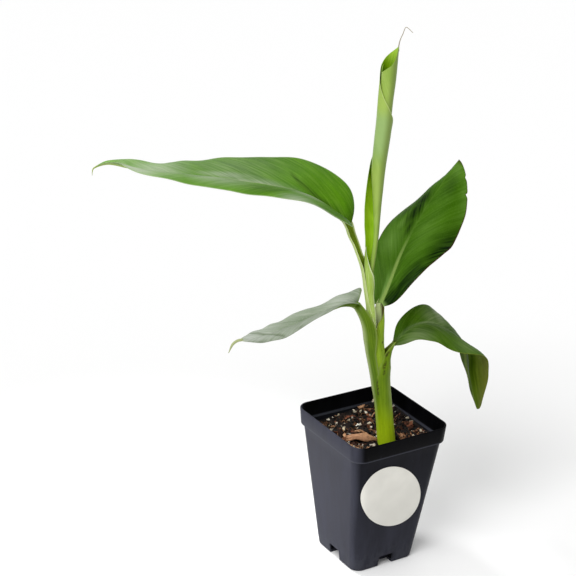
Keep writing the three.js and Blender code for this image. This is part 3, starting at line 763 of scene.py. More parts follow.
def sheath_look(name, tones):
    """A sheath's skin: lengthwise fibres, pale glassy margins, brown scars, a paler inside, and a pale band
    of painted sheen along one side.
    """
    look = Look(name, roughness=0.42, specular=0.12)
    _, across, inward = look.triple("place")
    run, out, height = look.triple("run")
    fibre = look.streaks(out, 1.5, run, 0.03, 0.0, 3.0)
    cloud = look.streaks(out, 0.2, run, 0.05, 3.0, 3.0)
    dots = look.noise(look.join(out, run, 9.0), 0.75, 2.0, 0.6)
    speck = look.noise(look.join(out, run, 5.0), 0.9, 3.0, 0.7)
    petiole = look.times(look.value("petiole"), look.step(fibre, 0.3, 0.6, 0.8, 1.0))
    painted_sheen_band = look.math("ABSOLUTE", look.math("SUBTRACT", across, tones["sheen_band_at"]))
    foot = look.times(look.step(height, 124.0, 166.0, 1.0, 0.0), look.step(fibre, 0.3, 0.65, 0.74, 1.0))
    edge = look.step(look.math("ABSOLUTE", across), 0.84, 0.99)
    freed = look.step(height, 174.0, 190.0, 0.0, tones["margin_share"])
    scar = look.times(look.value("scar"), look.step(speck, 0.35, 0.6, 0.3, 1.3))
    inside = look.coats(
        look.mix(look.step(fibre, 0.3, 0.7), tones["inside"], tones["inside_deep"]),
        (look.step(across, -0.3, 0.3), tones["inside_near"]),
    )
    colour = look.coats(
        look.mix(look.step(cloud, 0.3, 0.7), tones["deep"], tones["mid"]),
        (look.step(fibre, 0.4, 0.75, 0.0, 0.6), tones["bright"]),
        (look.times(petiole, tones["petiole_share"]), tones["petiole"]),
        # painted sheen: a pale band at a given share across, as a grazing sheen
        (look.times(look.step(painted_sheen_band, 0.0, 0.4, 1.0, 0.0), tones["sheen_band_share"]), tones["painted_sheen_band"]),
        (foot, tones["foot"]),
        (look.step(dots, 0.66, 0.74, 0.0, 0.45), tones["scar"]),
        (look.step(inward, 0.4, 0.8), inside),
        (look.times(edge, freed), tones["margin"]),
        (look.step(scar, 0.2, 0.8, 0.0, 0.85), tones["scar"]),
    )
    return look.finish(colour, look.step(cloud, 0.3, 0.7, 0.34, 0.48), look.bump(fibre, 0.0003, 0.4))


# The youngest leaf, still rolled: one blade wound round itself, its outer margin running down it as a helix

ROLL_FOOT, ROLL_TOP = 214, 470
ROLL_PATH = [
    (-5.0, -7.4, 214), (-7.6, -5.8, 232), (-9.6, -5.1, 250), (-10.2, -4.8, 262), (-9.7, -4.6, 272),
    (-8.6, -3.8, 282), (-7.7, -3.2, 292), (-7.1, -2.8, 302.1), (-7.3, -2.5, 318.2), (-7.9, -2.2, 333.2),
    (-8.3, -1.9, 346.3), (-8.7, -1.7, 358), (-8.6, -1.6, 367), (-7.8, -1.3, 381), (-6.3, -0.8, 406.7),
    (-5.7, -0.5, 423.5), (-4.8, -0.1, 440), (-4.4, 0, 470),
]
# By height: the roll's radius, the way its outer margin faces, and how far that margin stands off
ROLL_RADII = [
    (214, 1.8), (250, 2.0), (272, 2.6), (286, 2.3), (302, 2.3), (318, 3.0), (333, 4.2), (346, 5.3),
    (358, 6.3), (366, 6.7), (381, 6.9), (400, 6.9), (423, 6.8), (436, 6.9), (447, 7.0), (470, 7.2),
]
LAP_TURN = [
    (214, 250), (270, 205), (300, 192), (330, 188), (355, 184), (366, 176), (381, 110), (392, 40), (402, 8),
    (409, -12), (413, -45), (418, -62), (424, -95), (430, -121), (436, -149), (446, -188), (470, -230),
]
LAP_OPEN = [
    (214, 0.2), (250, 0.2), (262, 0.6), (272, 1.6), (282, 3.6), (290, 5.2), (297, 6.4), (315, 7.6),
    (330, 6.6), (345, 4.4), (356, 2.2), (366, 0.5), (400, 0.35), (406, 0.9), (411, 0.3), (470, 0.2),
]
LAP_AT_MOUTH = -188
MOUTH_LOW, MOUTH_HIGH = 446.5, 468.4
MOUTH_RIM = [  # by direction, the rim's share of the rise from the mouth's low side
    (-180, 0), (-150, 0.05), (-90, 0.24), (-60, 0.34), (-30, 0.52), (-12, 0.68), (2, 0.84), (14, 1.0),
    (30, 1.0), (53, 0.98), (83, 0.84), (111, 0.68), (136, 0.5), (165, 0.22), (180, 0),
]
ROLL_TURNS, LAYER_GAP, ROLL_THICK = 1.6, 1.0, 0.45
INNER_DROP = 26  # how far the roll's innermost turn ends below its rim
HAIR = [
    (2.3, 1.5, 464), (2.0, 1.0, 468), (2.8, 0.4, 473.4), (4.7, 0, 478.8), (6.8, 0, 484.2), (9.3, 0, 482.9),
    (12.7, 0, 479.8),
]
HAIR_RADII = [0.5, 0.42, 0.34, 0.3, 0.26, 0.2]


def by_height(table, z):
    """Values given at heights, read with soft bends."""
    heights, values = zip(*table)
    spread = np.linspace(-4, 4, 9)
    return np.mean([np.interp(z + d, heights, values) for d in spread], 0)


def make_rolled_leaf(look):
    """The wound blade, from its outer margin in to its heart, and the hair on its tip."""
    line, _ = curve_points(ROLL_PATH)
    wound = np.linspace(0, 1, 110)[None, :]
    down = np.linspace(0, 1, 230)[:, None] ** 0.9
    back = math.tau * ROLL_TURNS * (1 - wound)
    turn_at_mouth = math.radians(LAP_AT_MOUTH) - back
    directions, rises = zip(*MOUTH_RIM)
    crest = np.interp((np.degrees(turn_at_mouth) + 180) % 360 - 180, directions, rises)
    inward = np.clip(1 - wound - 1 / ROLL_TURNS, 0, 1)
    rise = (MOUTH_HIGH - MOUTH_LOW) * np.clip(crest, 0, 1.08)
    top = MOUTH_LOW + rise - INNER_DROP * smooth(inward, 0, 0.2)
    z = ROLL_FOOT + (top - ROLL_FOOT) * down
    turn = np.radians(by_height(LAP_TURN, z)) - back
    radius = by_height(ROLL_RADII, z)
    standing = by_height(LAP_OPEN, z)
    r = radius - LAYER_GAP * np.minimum(back / math.tau, radius / 3.2) * np.minimum(radius / 5, 1)
    r = r + standing * (1 - smooth(np.degrees(back), 0, 210)) ** 1.3
    middle_x = np.interp(z, line[:, 2], line[:, 0])
    middle_y = np.interp(z, line[:, 2], line[:, 1])
    thick = ROLL_THICK * (1 - 0.6 * smooth(wound, 0.97, 1)) + 0 * z

    def layer(offset):
        q = np.maximum(r + offset, 0.3)
        return np.stack([middle_x + q * np.cos(turn), middle_y + q * np.sin(turn), z], -1)

    u = (z - ROLL_FOOT) / (ROLL_TOP - ROLL_FOOT)
    place = np.stack([u, wound + 0 * z, 0 * u], -1)
    run = np.stack([z, back * radius, np.degrees(turn) / 360], -1)
    opened = smooth(standing, 0.8, 3.0) * smooth(wound, 0.3, 0.6)
    piece = Piece("rolled_blade")
    piece.loft(
        to_model(both_sides(layer(0), layer(-thick))), paired=True,
        place=both_sides(place, place + LOWER_SIDE), run=both_sides(run, run),
        opened=both_sides(opened, opened),
    )
    us = np.linspace(0, 1, 40)
    rings = tube(HAIR, along(HAIR_RADII, us), us, 8)
    piece.loft(to_model(rings), place=everywhere(rings, (2, 0, 0)), run=rings[..., 2:] * [1, 0, 0],
               opened=everywhere(rings, 0))
    return piece.build(look, ["rolled_leaf"])


def rolled_look():
    """The rolled leaf: its bloomed outside, painted shade down its right side, its saturated inside,
    brightened with painted light where the lap stands open, its outer margin's pale edge with a painted
    highlight, and the dry thread at its tip.
    """
    look = Look("rolled_leaf_skin", roughness=0.4, specular=0.2)
    share, wound, inward = look.triple("place")
    height, around, turn = look.triple("run")
    fibre = look.streaks(around, 0.8, height, 0.06, 0.0, 3.0)
    cloud = look.streaks(around, 0.12, height, 0.03, 2.0)
    clouded = look.step(cloud, 0.3, 0.7)
    outer = look.mix(clouded, (134, 164, 66), (154, 180, 84))
    inner_turn = look.mix(clouded, (142, 172, 54), (162, 188, 74))
    bloomed = look.times(look.step(height, 364.0, 388.0), look.step(height, 406.0, 420.0, 0.65, 0.0))
    # painted shade: how far a place on the roll faces right, away from the key light
    right = look.math("COSINE", look.times(turn, math.tau))
    strands = look.step(fibre, 0.3, 0.75)
    closed_inside = look.coats(
        look.mix(strands, (104, 150, 0), (134, 172, 10)),
        (look.step(height, 450.0, 466.0, 0.0, 0.6), (170, 204, 70)),
    )
    # painted light: where the lap stands open, its inside is brightened as if lit through the leaf
    open_inside = look.mix(strands, (150, 198, 14), (174, 214, 44))
    colour = look.coats(
        outer,
        (look.step(wound, 0.34, 0.40, 1.0, 0.0), inner_turn),
        (look.step(fibre, 0.45, 0.8, 0.0, 0.3), (168, 192, 100)),
        (bloomed, (146, 176, 116)),
        (look.step(height, 255.0, 290.0, 1.0, 0.0), (112, 142, 30)),
        # painted shade: the roll is darker on its right side, away from the key light
        (look.step(right, -0.1, 0.8, 0.0, 0.85), (112, 134, 56)),
        (look.step(inward, 0.4, 0.8), look.mix(look.value("opened"), closed_inside, open_inside)),
        # the outer margin's pale edge, partly its own colour and partly a painted highlight
        (look.step(wound, 0.985, 0.998, 0.0, 0.5), (196, 210, 140)),
        (look.step(share, 1.2, 1.8), (150, 138, 112)),
    )
    return look.finish(colour, look.step(cloud, 0.3, 0.7, 0.34, 0.46), look.bump(fibre, 0.00025, 0.4))


# The pot, its label and the potting mix

def square_ring(half, corner, z, steps=14):
    """A rounded square at height z, anticlockwise from above."""
    ring = []
    c = half - corner
    for quarter, (x, y) in enumerate(((c, c), (-c, c), (-c, -c), (c, -c))):
        for k in range(steps + 1):
            angle = math.pi / 2 * (quarter + k / steps)
            ring.append((x + corner * math.cos(angle), y + corner * math.sin(angle), z))
    return ring


def body_half(z):
    return BASE_HALF + (SHOULDER_HALF - BASE_HALF) * z / SHOULDER


def body_corner(z):
    return BASE_CORNER + (BODY_CORNER - BASE_CORNER) * z / SHOULDER


def pot_profile():
    """Half width, corner radius and height of the pot's rings, from under its floor round to its inside."""
    foot_half, foot_corner = BASE_HALF - FOOT_ROUND, BASE_CORNER - FOOT_CORNER_GAIN
    rings = [(12.0, 4.0, 0.0), (foot_half, foot_corner, 0.0)]
    for k in range(1, 5):
        angle = math.pi / 2 * k / 4
        half = foot_half + FOOT_ROUND * math.sin(angle)
        corner = foot_corner + FOOT_CORNER_GAIN * math.sin(angle)
        rings.append((half, corner, FOOT_ROUND - FOOT_ROUND * math.cos(angle)))
    rings += [(body_half(z), body_corner(z), z) for z in np.linspace(8, SHOULDER - 0.9, 12)]
    lip = WALL / 2
    rings += [
        (body_half(SHOULDER) + 0.1, BODY_CORNER + 0.1, SHOULDER - 0.3),
        (SHOULDER_HALF + 0.5, BODY_CORNER + 0.3, SHOULDER),
        (RIM_FOOT_HALF - 0.6, RIM_CORNER - 0.2, SHOULDER),
        (RIM_FOOT_HALF - 0.15, RIM_CORNER, SHOULDER + 0.25),
        (RIM_FOOT_HALF + 0.05, RIM_CORNER, SHOULDER + 0.8),
        (RIM_HALF - 0.02, RIM_CORNER, POT_HEIGHT - lip),
    ]
    for k in range(1, 7):
        angle = math.pi * k / 6
        rings.append((RIM_HALF - lip + lip * math.cos(angle), RIM_CORNER - lip + lip * math.cos(angle),
                      POT_HEIGHT - lip + lip * math.sin(angle)))
    ledge = SHOULDER + 0.9
    rings += [
        (RIM_FOOT_HALF - WALL, RIM_CORNER - WALL, ledge + 0.6),
        (RIM_FOOT_HALF - WALL - 0.5, RIM_CORNER - WALL - 0.3, ledge),
        (SHOULDER_HALF - WALL + 0.4, BODY_CORNER - WALL + 0.2, ledge),
        (SHOULDER_HALF - WALL, BODY_CORNER - WALL, ledge - 0.5),
    ]
    for z in np.linspace(SHOULDER - 6, POT_FLOOR, 10):
        rings.append((body_half(z) - WALL, body_corner(z) - WALL, z))
    return [*rings, (10.0, 4.0, POT_FLOOR)]


def notch_cutter(face):
    """A notch's arch, cut in from the foot of one face of the pot."""
    half, corner = NOTCH_WIDTH / 2, 2.0
    arch = [(-half, -2.0), (half, -2.0)]
    for start in (0, 1):
        middle_x = (half - corner) * (1 - 2 * start)
        for k in range(6):
            angle = math.pi / 2 * (start + k / 5)
            z = NOTCH_HEIGHT - corner + corner * math.sin(angle)
            arch.append((middle_x + corner * math.cos(angle), z))
    near, far = -BASE_HALF - 5, -BASE_HALF + NOTCH_DEPTH
    rings = [[(x, y, z) for x, z in arch] for y in (near, far)]
    cutter = Piece(f"notch_{face}")
    cutter.loft(turned(rings, face * math.pi / 2) * MM)
    mesh = bpy.data.meshes.new(cutter.name)
    mesh.from_pydata(np.concatenate(cutter.points), [], cutter.faces)
    turn_outward(mesh)
    return put_in_scene(cutter.name, mesh)


def make_pot(look):
    """The pot's shell, with a notch cut into the foot of each face."""
    sharp = 40
    shell = Piece("pot_shell")
    shell.loft(np.array([square_ring(*ring) for ring in pot_profile()]) * MM)
    pot = shell.build(look, ["pot"], sharp)
    cutters = [notch_cutter(face) for face in range(4)]
    for cutter in cutters:
        cut = pot.modifiers.new("notch", "BOOLEAN")
        cut.operation = "DIFFERENCE"
        cut.solver = "EXACT"
        cut.object = cutter
    bpy.context.view_layer.update()
    made = bpy.data.meshes.new_from_object(pot.evaluated_get(bpy.context.evaluated_depsgraph_get()))
    pot.modifiers.clear()
    old = pot.data
    pot.data = made
    made.name = old.name
    bpy.data.meshes.remove(old)
    for cutter in cutters:
        bpy.data.objects.remove(cutter)
    made.polygons.foreach_set("use_smooth", [True] * len(made.polygons))
    made.set_sharp_from_angle(angle=math.radians(sharp))
    return pot


def pot_look():
    """Black satin plastic: a fine grain, faint smears down the walls, a painted reflection on the left wall
    and lower down the walls, a painted highlight along the ledge under the rim, scuffs, and dust at the foot.
    """
    look = Look("black_plastic", roughness=0.42, specular=0.045)
    at = look.place()
    grain = look.noise(at, 1400.0)
    smear = look.noise(look.stretched(at, 90.0, 90.0, 14.0), 1.0, 4.0, 0.6)
    scuff = look.noise(look.stretched(at, 260.0, 260.0, 90.0), 1.0, 5.0, 0.7)
    aside, _, height = look.split(at)
    half = look.math("MULTIPLY_ADD", height, (SHOULDER_HALF - BASE_HALF) / SHOULDER, BASE_HALF * MM)
    # Painted reflection on the left wall; lower down, the walls are paler too
    left = look.step(look.math("DIVIDE", aside, half), -0.99, -0.84, 0.85, 0.0)
    low = look.times(look.step(height, 0.02, 0.116, 0.5, 0.17), look.step(height, 0.119, 0.12, 1.0, 0.0))
    painted_reflection = look.times(look.math("MAXIMUM", left, low), look.step(smear, 0.2, 0.8, 0.6, 1.0))
    # Painted highlight: a thin pale line along the ledge under the rim
    fold = look.times(look.step(height, 0.1199, 0.1205), look.step(height, 0.1212, 0.1222, 1.0, 0.0))
    colour = look.coats(
        look.mix(look.step(smear, 0.35, 0.75), (1, 1, 2), (6, 6, 10)),
        (painted_reflection, (66, 67, 79)),
        (look.times(fold, 0.5), (72, 74, 84)),
        (look.step(scuff, 0.62, 0.74, 0.0, 0.3), (52, 54, 60)),
        (look.times(look.step(height, 0.0, 0.03, 0.35, 0.0), look.step(scuff, 0.4, 0.6)), (70, 72, 78)),
    )
    dents = look.bump(scuff, 0.0003, 0.12, look.bump(grain, 0.00005, 0.25))
    return look.finish(colour, look.step(smear, 0.3, 0.7, 0.34, 0.5), dents)


def make_label(look):
    """A bare round label on the pot's front wall, a little lower to the right."""
    rings, spokes = 16, 96
    angle = np.arange(spokes) / spokes * math.tau
    gap, thick = LABEL["gap"], LABEL["thick"]
    shares = [max(k / rings, 0.02) ** 0.8 for k in range(rings + 1)]
    face = [(share, gap + thick * (1 if share < 1 else 0.7)) for share in shares]
    body = []
    for share, proud in face + [(share, gap) for share in shares[::-1]]:
        aside = share * LABEL["wide"] * np.cos(angle)
        x = LABEL["across"] + aside
        z = LABEL["height"] + share * LABEL["tall"] * np.sin(angle) + LABEL["lean"] * aside
        half, corner = body_half(z), body_corner(z)
        beyond = np.clip(np.abs(x) - (half - corner), 0, corner)
        y = -(half - corner) - np.sqrt(np.maximum((corner + proud) ** 2 - beyond**2, 0))
        body.append(np.stack([x, y, z], -1))
    piece = Piece("label_disc")
    piece.loft(np.array(body) * MM)
    return piece.build(look, ["pot_label"], sharp=35)


def label_look():
    """Off-white coated paper with a faint tooth and a slightly greyer foot."""
    look = Look("label_paper", roughness=0.5, specular=0.4)
    at = look.place()
    tooth = look.noise(at, 900.0, 4.0)
    _, _, height = look.split(at)
    colour = look.coats(
        look.mix(look.step(look.noise(at, 45.0), 0.3, 0.7), (214, 212, 204), (222, 220, 212)),
        (look.step(height, 0.044, 0.1, 0.35, 0.0), (190, 189, 182)),
    )
    return look.finish(colour, look.step(tooth, 0.3, 0.7, 0.42, 0.56), look.bump(tooth, 0.00005, 0.3))


def mix_height(x, y):
    """Height of the potting mix: low at the front and left, heaped to the back and right."""
    right, back = smooth(x, -20, 46), smooth(y, -20, 46)
    rise = MIX["level"] + MIX["rise_right"] * right + MIX["rise_back"] * back * right
    return rise + MIX["ripple"] * np.sin(x * 0.31 + 1) * np.cos(y * 0.27)


def stem_distance(x, y):
    foot_x, foot_y, _ = turned((*STEM_FOOT, 0), PLANT_TURN)
    return np.hypot(x - foot_x, y - foot_y)


def bed_height(x, y):
    """The mix's own surface under its chips."""
    rough = 0.9 * ripples(x, y, 14, 11) + 0.5 * ripples(x, y, 5, 12, 9) + 0.3 * ripples(x, y, 2.4, 13, 11)
    return mix_height(x, y) - 1.2 + rough


def make_bed(look):
    """The body of the mix, down to near the pot's floor, under its rough surface."""
    inset = WALL + 0.3
    rings = [square_ring(body_half(z) - inset, body_corner(z) - inset, z) for z in (14.0, 60.0, 108.0)]
    edge = np.array(square_ring(body_half(MIX["level"]) - WALL - 0.15, body_corner(MIX["level"]) - WALL, 0))
    for share in np.linspace(1, 0.012, 52):
        ring = edge * share
        ring[:, 2] = bed_height(ring[:, 0], ring[:, 1])
        rings.append(ring)
    piece = Piece("mix_bed")
    piece.loft(np.array(rings) * MM)
    return piece.build(look, ["potting_mix"], sharp=180)


def crumb_mesh(steps=4):
    """A cube's surface divided into a grid, as points from -1 to 1 and faces."""
    numbers, points, faces = {}, [], []

    def number(p):
        if p not in numbers:
            numbers[p] = len(points)
            points.append(p)
        return numbers[p]

    for axis in range(3):
        for end in (0, steps):
            for i in range(steps):
                for j in range(steps):
                    corners = []
                    for a, b in ((i, j), (i + 1, j), (i + 1, j + 1), (i, j + 1)):
                        p = [a, b]
                        p.insert(axis, end)
                        corners.append(number(tuple(p)))
                    faces.append(corners if end else corners[::-1])
    return np.array(points) * 2 / steps - 1, faces


def turn_matrix(rng, tilt):
    """A random heading, with a random tilt from level of up to that many radians."""
    level = Matrix.Rotation(rng.uniform(0, math.tau), 3, "Z")
    pitch = Matrix.Rotation(rng.uniform(-tilt, tilt), 3, "X")
    roll = Matrix.Rotation(rng.uniform(-tilt, tilt), 3, "Y")
    return np.array(level @ (pitch @ roll))


BARK = {
    "count": 1250, "seed": 21, "sizes": (1.0, 6.8), "widths": (0.22, 0.55), "depths": (0.12, 0.3),
    "roundness": 0.3, "tilt": 0.9, "lift": 0.8, "stem_clear": 0.3,
}
PERLITE = {
    "count": 240, "seed": 22, "sizes": (0.7, 3.3), "widths": (0.5, 1.0), "depths": (0.35, 0.85),
    "roundness": 0.3, "tilt": 1.5, "lift": 0.6, "stem_clear": 0.5,
}
LUMPINESS = 0.34
STEM_REACH = 9.2  # the stem's radius at the mix, and a little


def crumbs(name, look, kind):
    """Many irregular crumbs lying on the mix, as one piece, each with a tint of its own."""
    rng = random.Random(kind["seed"])
    sizes, roundness = kind["sizes"], kind["roundness"]
    base, faces = crumb_mesh()
    length = np.linalg.norm(base, axis=1, keepdims=True)
    ball = base / length * 1.15
    piece = Piece(name)
    half = body_half(MIX["level"]) - WALL - 2.2
    square, corner = 34, 8  # the mix's outline: a square with rounded corners
    made = 0
    while made < kind["count"]:
        x, y = rng.uniform(-half, half), rng.uniform(-half, half)
        size = rng.uniform(*sizes) if rng.random() < 0.75 else rng.uniform(sizes[0], sizes[0] * 1.5)
        in_corner = np.hypot(max(abs(x) - square, 0), max(abs(y) - square, 0)) > corner
        at_wall = max(abs(x), abs(y)) > half - size * 0.35
        if in_corner or at_wall or stem_distance(x, y) < STEM_REACH + size * kind["stem_clear"]:
            continue
        wide = size * rng.uniform(*kind["widths"])
        deep = size * rng.uniform(*kind["depths"])
        shape = base * (1 - roundness) + ball * roundness
        lump = []
        for k in range(3):
            slanted = shape[:, k] + shape[:, (k + 1) % 3]
            lump.append(ripples(slanted, shape[:, (k + 2) % 3], 1.6, rng.random()))
        shape = (shape + LUMPINESS * np.stack(lump, -1)) * np.array([size, wide, deep]) / 2
        shape[:, 2] += rng.uniform(-0.25, 0.25) * shape[:, 0] ** 2 / max(size, 1) * 2
        shape = shape @ turn_matrix(rng, kind["tilt"]).T
        z = bed_height(x, y) + kind["lift"] * deep + rng.uniform(0, 0.8)
        piece.add((shape + [x, y, float(z)]) * MM, faces, tint=rng.random())
        made += 1
    return piece.build(look, sharp=48)


def fibres(look, count=420, seed=31):
    """Thin curved fibres strewn over the mix."""
    rng = random.Random(seed)
    piece = Piece("coir_fibres")
    half = body_half(MIX["level"]) - WALL - 4
    square, corner = 33, 8
    us = np.linspace(0, 1, 8)
    made = 0
    while made < count:
        x, y = rng.uniform(-half, half), rng.uniform(-half, half)
        reach = rng.uniform(4, 13)
        heading = rng.uniform(0, math.tau)
        bend = rng.uniform(-1.1, 1.1)
        path = []
        for k in range(4):
            share = k / 3 - 0.5
            way = heading + bend * share
            px, py = x + reach * share * math.cos(way), y + reach * share * math.sin(way)
            path.append((px, py, float(bed_height(px, py)) + rng.uniform(0.3, 2.4)))
        px, py, _ = np.transpose(path)
        past = [np.maximum(abs(side) - square, 0) for side in (px, py)]
        in_corner = np.hypot(*past).max() > corner
        at_wall = max(abs(px).max(), abs(py).max()) > half + 1.5
        if in_corner or at_wall or stem_distance(px, py).min() < STEM_REACH + 0.8:
            continue
        thick = rng.uniform(0.16, 0.42)
        rings = tube(path, thick * (1 - 0.5 * np.abs(us - 0.5)), us, 5)
        piece.loft(rings * MM, tint=everywhere(rings, rng.random()))
        made += 1
    return piece.build(look, sharp=80)


def curled_bark(look):
    """The large curled piece of bark lying in front of the stem."""
    rows, cols = 26, 15
    length, curl, half_thick = 27.0, 1.0, 0.5
    middle = np.array([-9.5, -18.0, 121.4])
    u = np.linspace(0, 1, rows)[:, None]
    v = np.linspace(-1, 1, cols)[None, :]
    wide = 3.6 * np.sin(np.pi * np.clip(u * 0.86 + 0.1, 0, 1)) ** 0.5 * (1 + 0.22 * np.sin(11 * u + 1))
    angle = v * curl
    x = (u - 0.5) * length + 0.7 * np.sin(9 * v + 4 * u)
    y = wide * np.sin(angle) / math.sin(curl)
    z = wide * (np.cos(angle) - 1) * 1.2 + 4.6 * np.sin(np.pi * u) ** 0.8 + 0.25 * ripples(x, y, 5, 3)
    ring = both_sides(np.stack([x, y, z + half_thick], -1), np.stack([x, y, z - half_thick], -1))
    turn = Matrix.Rotation(math.radians(4), 3, "Z") @ Matrix.Rotation(math.radians(3), 3, "Y")
    ring = ring @ np.array(turn @ Matrix.Rotation(math.radians(28), 3, "X")).T + middle
    piece = Piece("curled_bark")
    piece.loft(to_model(ring), paired=True, tint=everywhere(ring, 0.975))
    return piece.build(look, sharp=50)


def bark_look():
    """Composted bark: near-black to red-brown and tan crumbs, split along the grain."""
    look = Look("composted_bark", roughness=0.8, specular=0.3)
    tint = look.value("tint")
    grain = look.noise(look.stretched(look.place(), 500.0, 900.0, 900.0), 1.0, 4.0, 0.6)
    colour = look.coats(
        look.mix(look.step(tint, 0.3, 0.7), (8, 5, 4), (34, 18, 12)),
        (look.step(tint, 0.74, 0.9), (112, 62, 40)),
        (look.step(tint, 0.93, 1.0), (190, 144, 108)),
        (look.step(grain, 0.45, 0.75, 0.0, 0.6), (16, 9, 6)),
    )
    return look.finish(colour, look.step(grain, 0.3, 0.7, 0.68, 0.92), look.bump(grain, 0.0006, 0.6))


def perlite_look():
    """Puffed mineral crumbs: chalky white, some cream, pitted."""
    look = Look("perlite", roughness=0.85, specular=0.3)
    pits = look.spots(look.place(), 1500.0)
    colour = look.mix(look.value("tint"), (196, 180, 152), (232, 228, 218))
    colour = look.mix(look.step(pits, 0.1, 0.5, 0.35, 0.0), colour, (150, 130, 104))
    return look.finish(colour, look.step(pits, 0.1, 0.6, 0.95, 0.78), look.bump(pits, 0.0004, 0.7))


def fibre_look():
    """Coir: red-brown to straw fibres."""
    look = Look("coir", roughness=0.75, specular=0.3)
    grain = look.noise(look.place(), 1200.0)
    colour = look.mix(look.value("tint"), (44, 24, 14), (168, 118, 80))
    colour = look.mix(look.step(grain, 0.4, 0.7, 0.0, 0.5), colour, (44, 26, 16))
    return look.finish(colour, look.step(grain, 0.3, 0.7, 0.66, 0.86))


def bed_look():
    """The dark fine part of the mix: damp peat with paler grit."""
    look = Look("peat_bed", roughness=0.9, specular=0.25)
    at = look.place()
    coarse = look.noise(at, 260.0, 5.0, 0.65)
    colour = look.mix(look.step(coarse, 0.35, 0.65), (5, 3, 2), (26, 15, 10))
    colour = look.mix(look.step(look.spots(at, 900.0), 0.02, 0.14, 0.5, 0.0), colour, (104, 72, 48))
    return look.finish(colour, look.step(coarse, 0.3, 0.7, 0.8, 0.96), look.bump(coarse, 0.0016, 0.8))


# Colours of the plant, each as it shows on a screen

LEAF_TONES = {
    "deep": (68, 116, 4), "mid": (84, 134, 8), "bright": (108, 150, 40), "painted_reflection": (164, 174, 152),
    "dark": (8, 34, 0), "rib": (140, 158, 112), "base": (60, 92, 0), "tip": (142, 160, 56),
    "margin": (150, 170, 100), "under": (116, 144, 78), "under_deep": (94, 126, 56),
    "under_rib": (164, 182, 104), "under_edge": (116, 144, 78),
    "rib_share": 0.6, "rib_start": -0.2, "rib_from": 0.3, "rib_to": 0.75, "margin_share": 0.3,
    "under_rib_share": 0.8, "under_edge_share": 0.0, "gloss": 0.08, "streak": 0.5,
}
BLADE_TONES = {
    "blade_upper_left": {"margin": (186, 198, 160), "margin_share": 0.5, "rib_start": 0.2},
    "blade_upper_right": {
        "deep": (52, 92, 2), "mid": (68, 110, 14), "bright": (88, 126, 42), "painted_reflection": (132, 172, 84),
        "dark": (0, 20, 0), "rib": (146, 172, 92), "base": (130, 160, 84), "tip": (62, 66, 18),
        "margin": (70, 26, 26), "margin_share": 0.8, "rib_share": 0.9, "rib_from": 0.2, "rib_to": 0.5,
        "gloss": 0.03, "streak": 0.3,
    },
    # The lower left blade's greys are painted sheen, a grazing reflection painted into its green
    "blade_lower_left": {
        "deep": (114, 128, 104), "mid": (138, 149, 129), "bright": (168, 174, 161), "painted_reflection": (178, 183, 174),
        # its dark tone gives its foot a plainer green and is the painted shade in its crease
        "dark": (70, 88, 46), "rib": (140, 156, 122), "base": (118, 138, 86), "tip": (160, 168, 120),
        "margin": (104, 110, 92), "under": (100, 126, 56), "under_deep": (84, 112, 36),
        "under_rib": (120, 142, 76), "rib_share": 0.2, "margin_share": 0.6,
    },
    "blade_lower_right": {
        "deep": (48, 80, 2), "mid": (64, 98, 4), "bright": (90, 116, 40), "painted_reflection": (134, 148, 110),
        "base": (52, 62, 2), "tip": (98, 106, 26), "margin": (110, 122, 44), "under": (84, 104, 24),
        "under_deep": (58, 80, 4), "under_rib": (66, 90, 16), "under_edge": (94, 102, 30), "rib_share": 0.1,
        "margin_share": 0.5, "under_rib_share": 0.3, "under_edge_share": 1.0, "gloss": 0.03,
    },
}
STEM_TONES = {
    "deep": (78, 106, 0), "mid": (92, 120, 2), "bright": (116, 142, 28), "petiole": (120, 140, 60),
    "foot": (162, 190, 22), "inside": (140, 164, 84), "inside_deep": (112, 138, 50),
    "inside_near": (112, 138, 50), "painted_sheen_band": (148, 166, 90), "margin": (184, 192, 124), "scar": (46, 38, 8),
    "petiole_share": 0.7, "sheen_band_at": 0.0, "sheen_band_share": 0.0, "margin_share": 0.4,
}
SHEATH_TONES = {
    "sheath_lower_right": {
        "petiole": (122, 144, 52), "inside": (96, 110, 30), "inside_deep": (70, 86, 10),
        "painted_sheen_band": (146, 162, 88), "margin": (150, 166, 84), "sheen_band_at": 0.25, "sheen_band_share": 0.6,
        "margin_share": 0.3,
    },
    "sheath_lower_left": {
        "deep": (66, 94, 0), "mid": (80, 108, 2), "bright": (102, 128, 26), "petiole": (92, 118, 34),
        "painted_sheen_band": (150, 164, 104), "sheen_band_at": -0.08, "sheen_band_share": 0.75, "margin_share": 0.2,
    },
    "sheath_upper_right": {
        "deep": (104, 134, 8), "mid": (122, 150, 28), "bright": (146, 170, 62), "petiole": (122, 142, 66),
        # channel: pale inside is painted light; brown near side partly its own brown, partly painted shade
        "inside": (214, 228, 168), "inside_deep": (188, 208, 134), "inside_near": (64, 50, 6),
        "margin": (110, 100, 36),
    },
    "sheath_upper_left": {
        "deep": (158, 180, 92), "mid": (184, 202, 126), "bright": (212, 222, 172), "petiole": (160, 178, 122),
        "inside": (140, 160, 36), "inside_deep": (112, 138, 10), "inside_near": (112, 138, 10),
        "margin": (206, 214, 160), "petiole_share": 0.9, "margin_share": 0.8,
    },
    "sheath_wing": {
        "deep": (138, 168, 50), "mid": (160, 188, 84), "bright": (198, 214, 150), "foot": (138, 168, 50),
        "margin": (214, 222, 184), "margin_share": 0.8,
    },
}


def make_plant():
    for name in LEAVES:
        make_blade(name, blade_look(name + "_skin", {**LEAF_TONES, **BLADE_TONES[name]}))
    for name in SHEATHS:
        make_sheath(name, sheath_look(name + "_skin", {**STEM_TONES, **SHEATH_TONES[name]}))
    make_rolled_leaf(rolled_look())


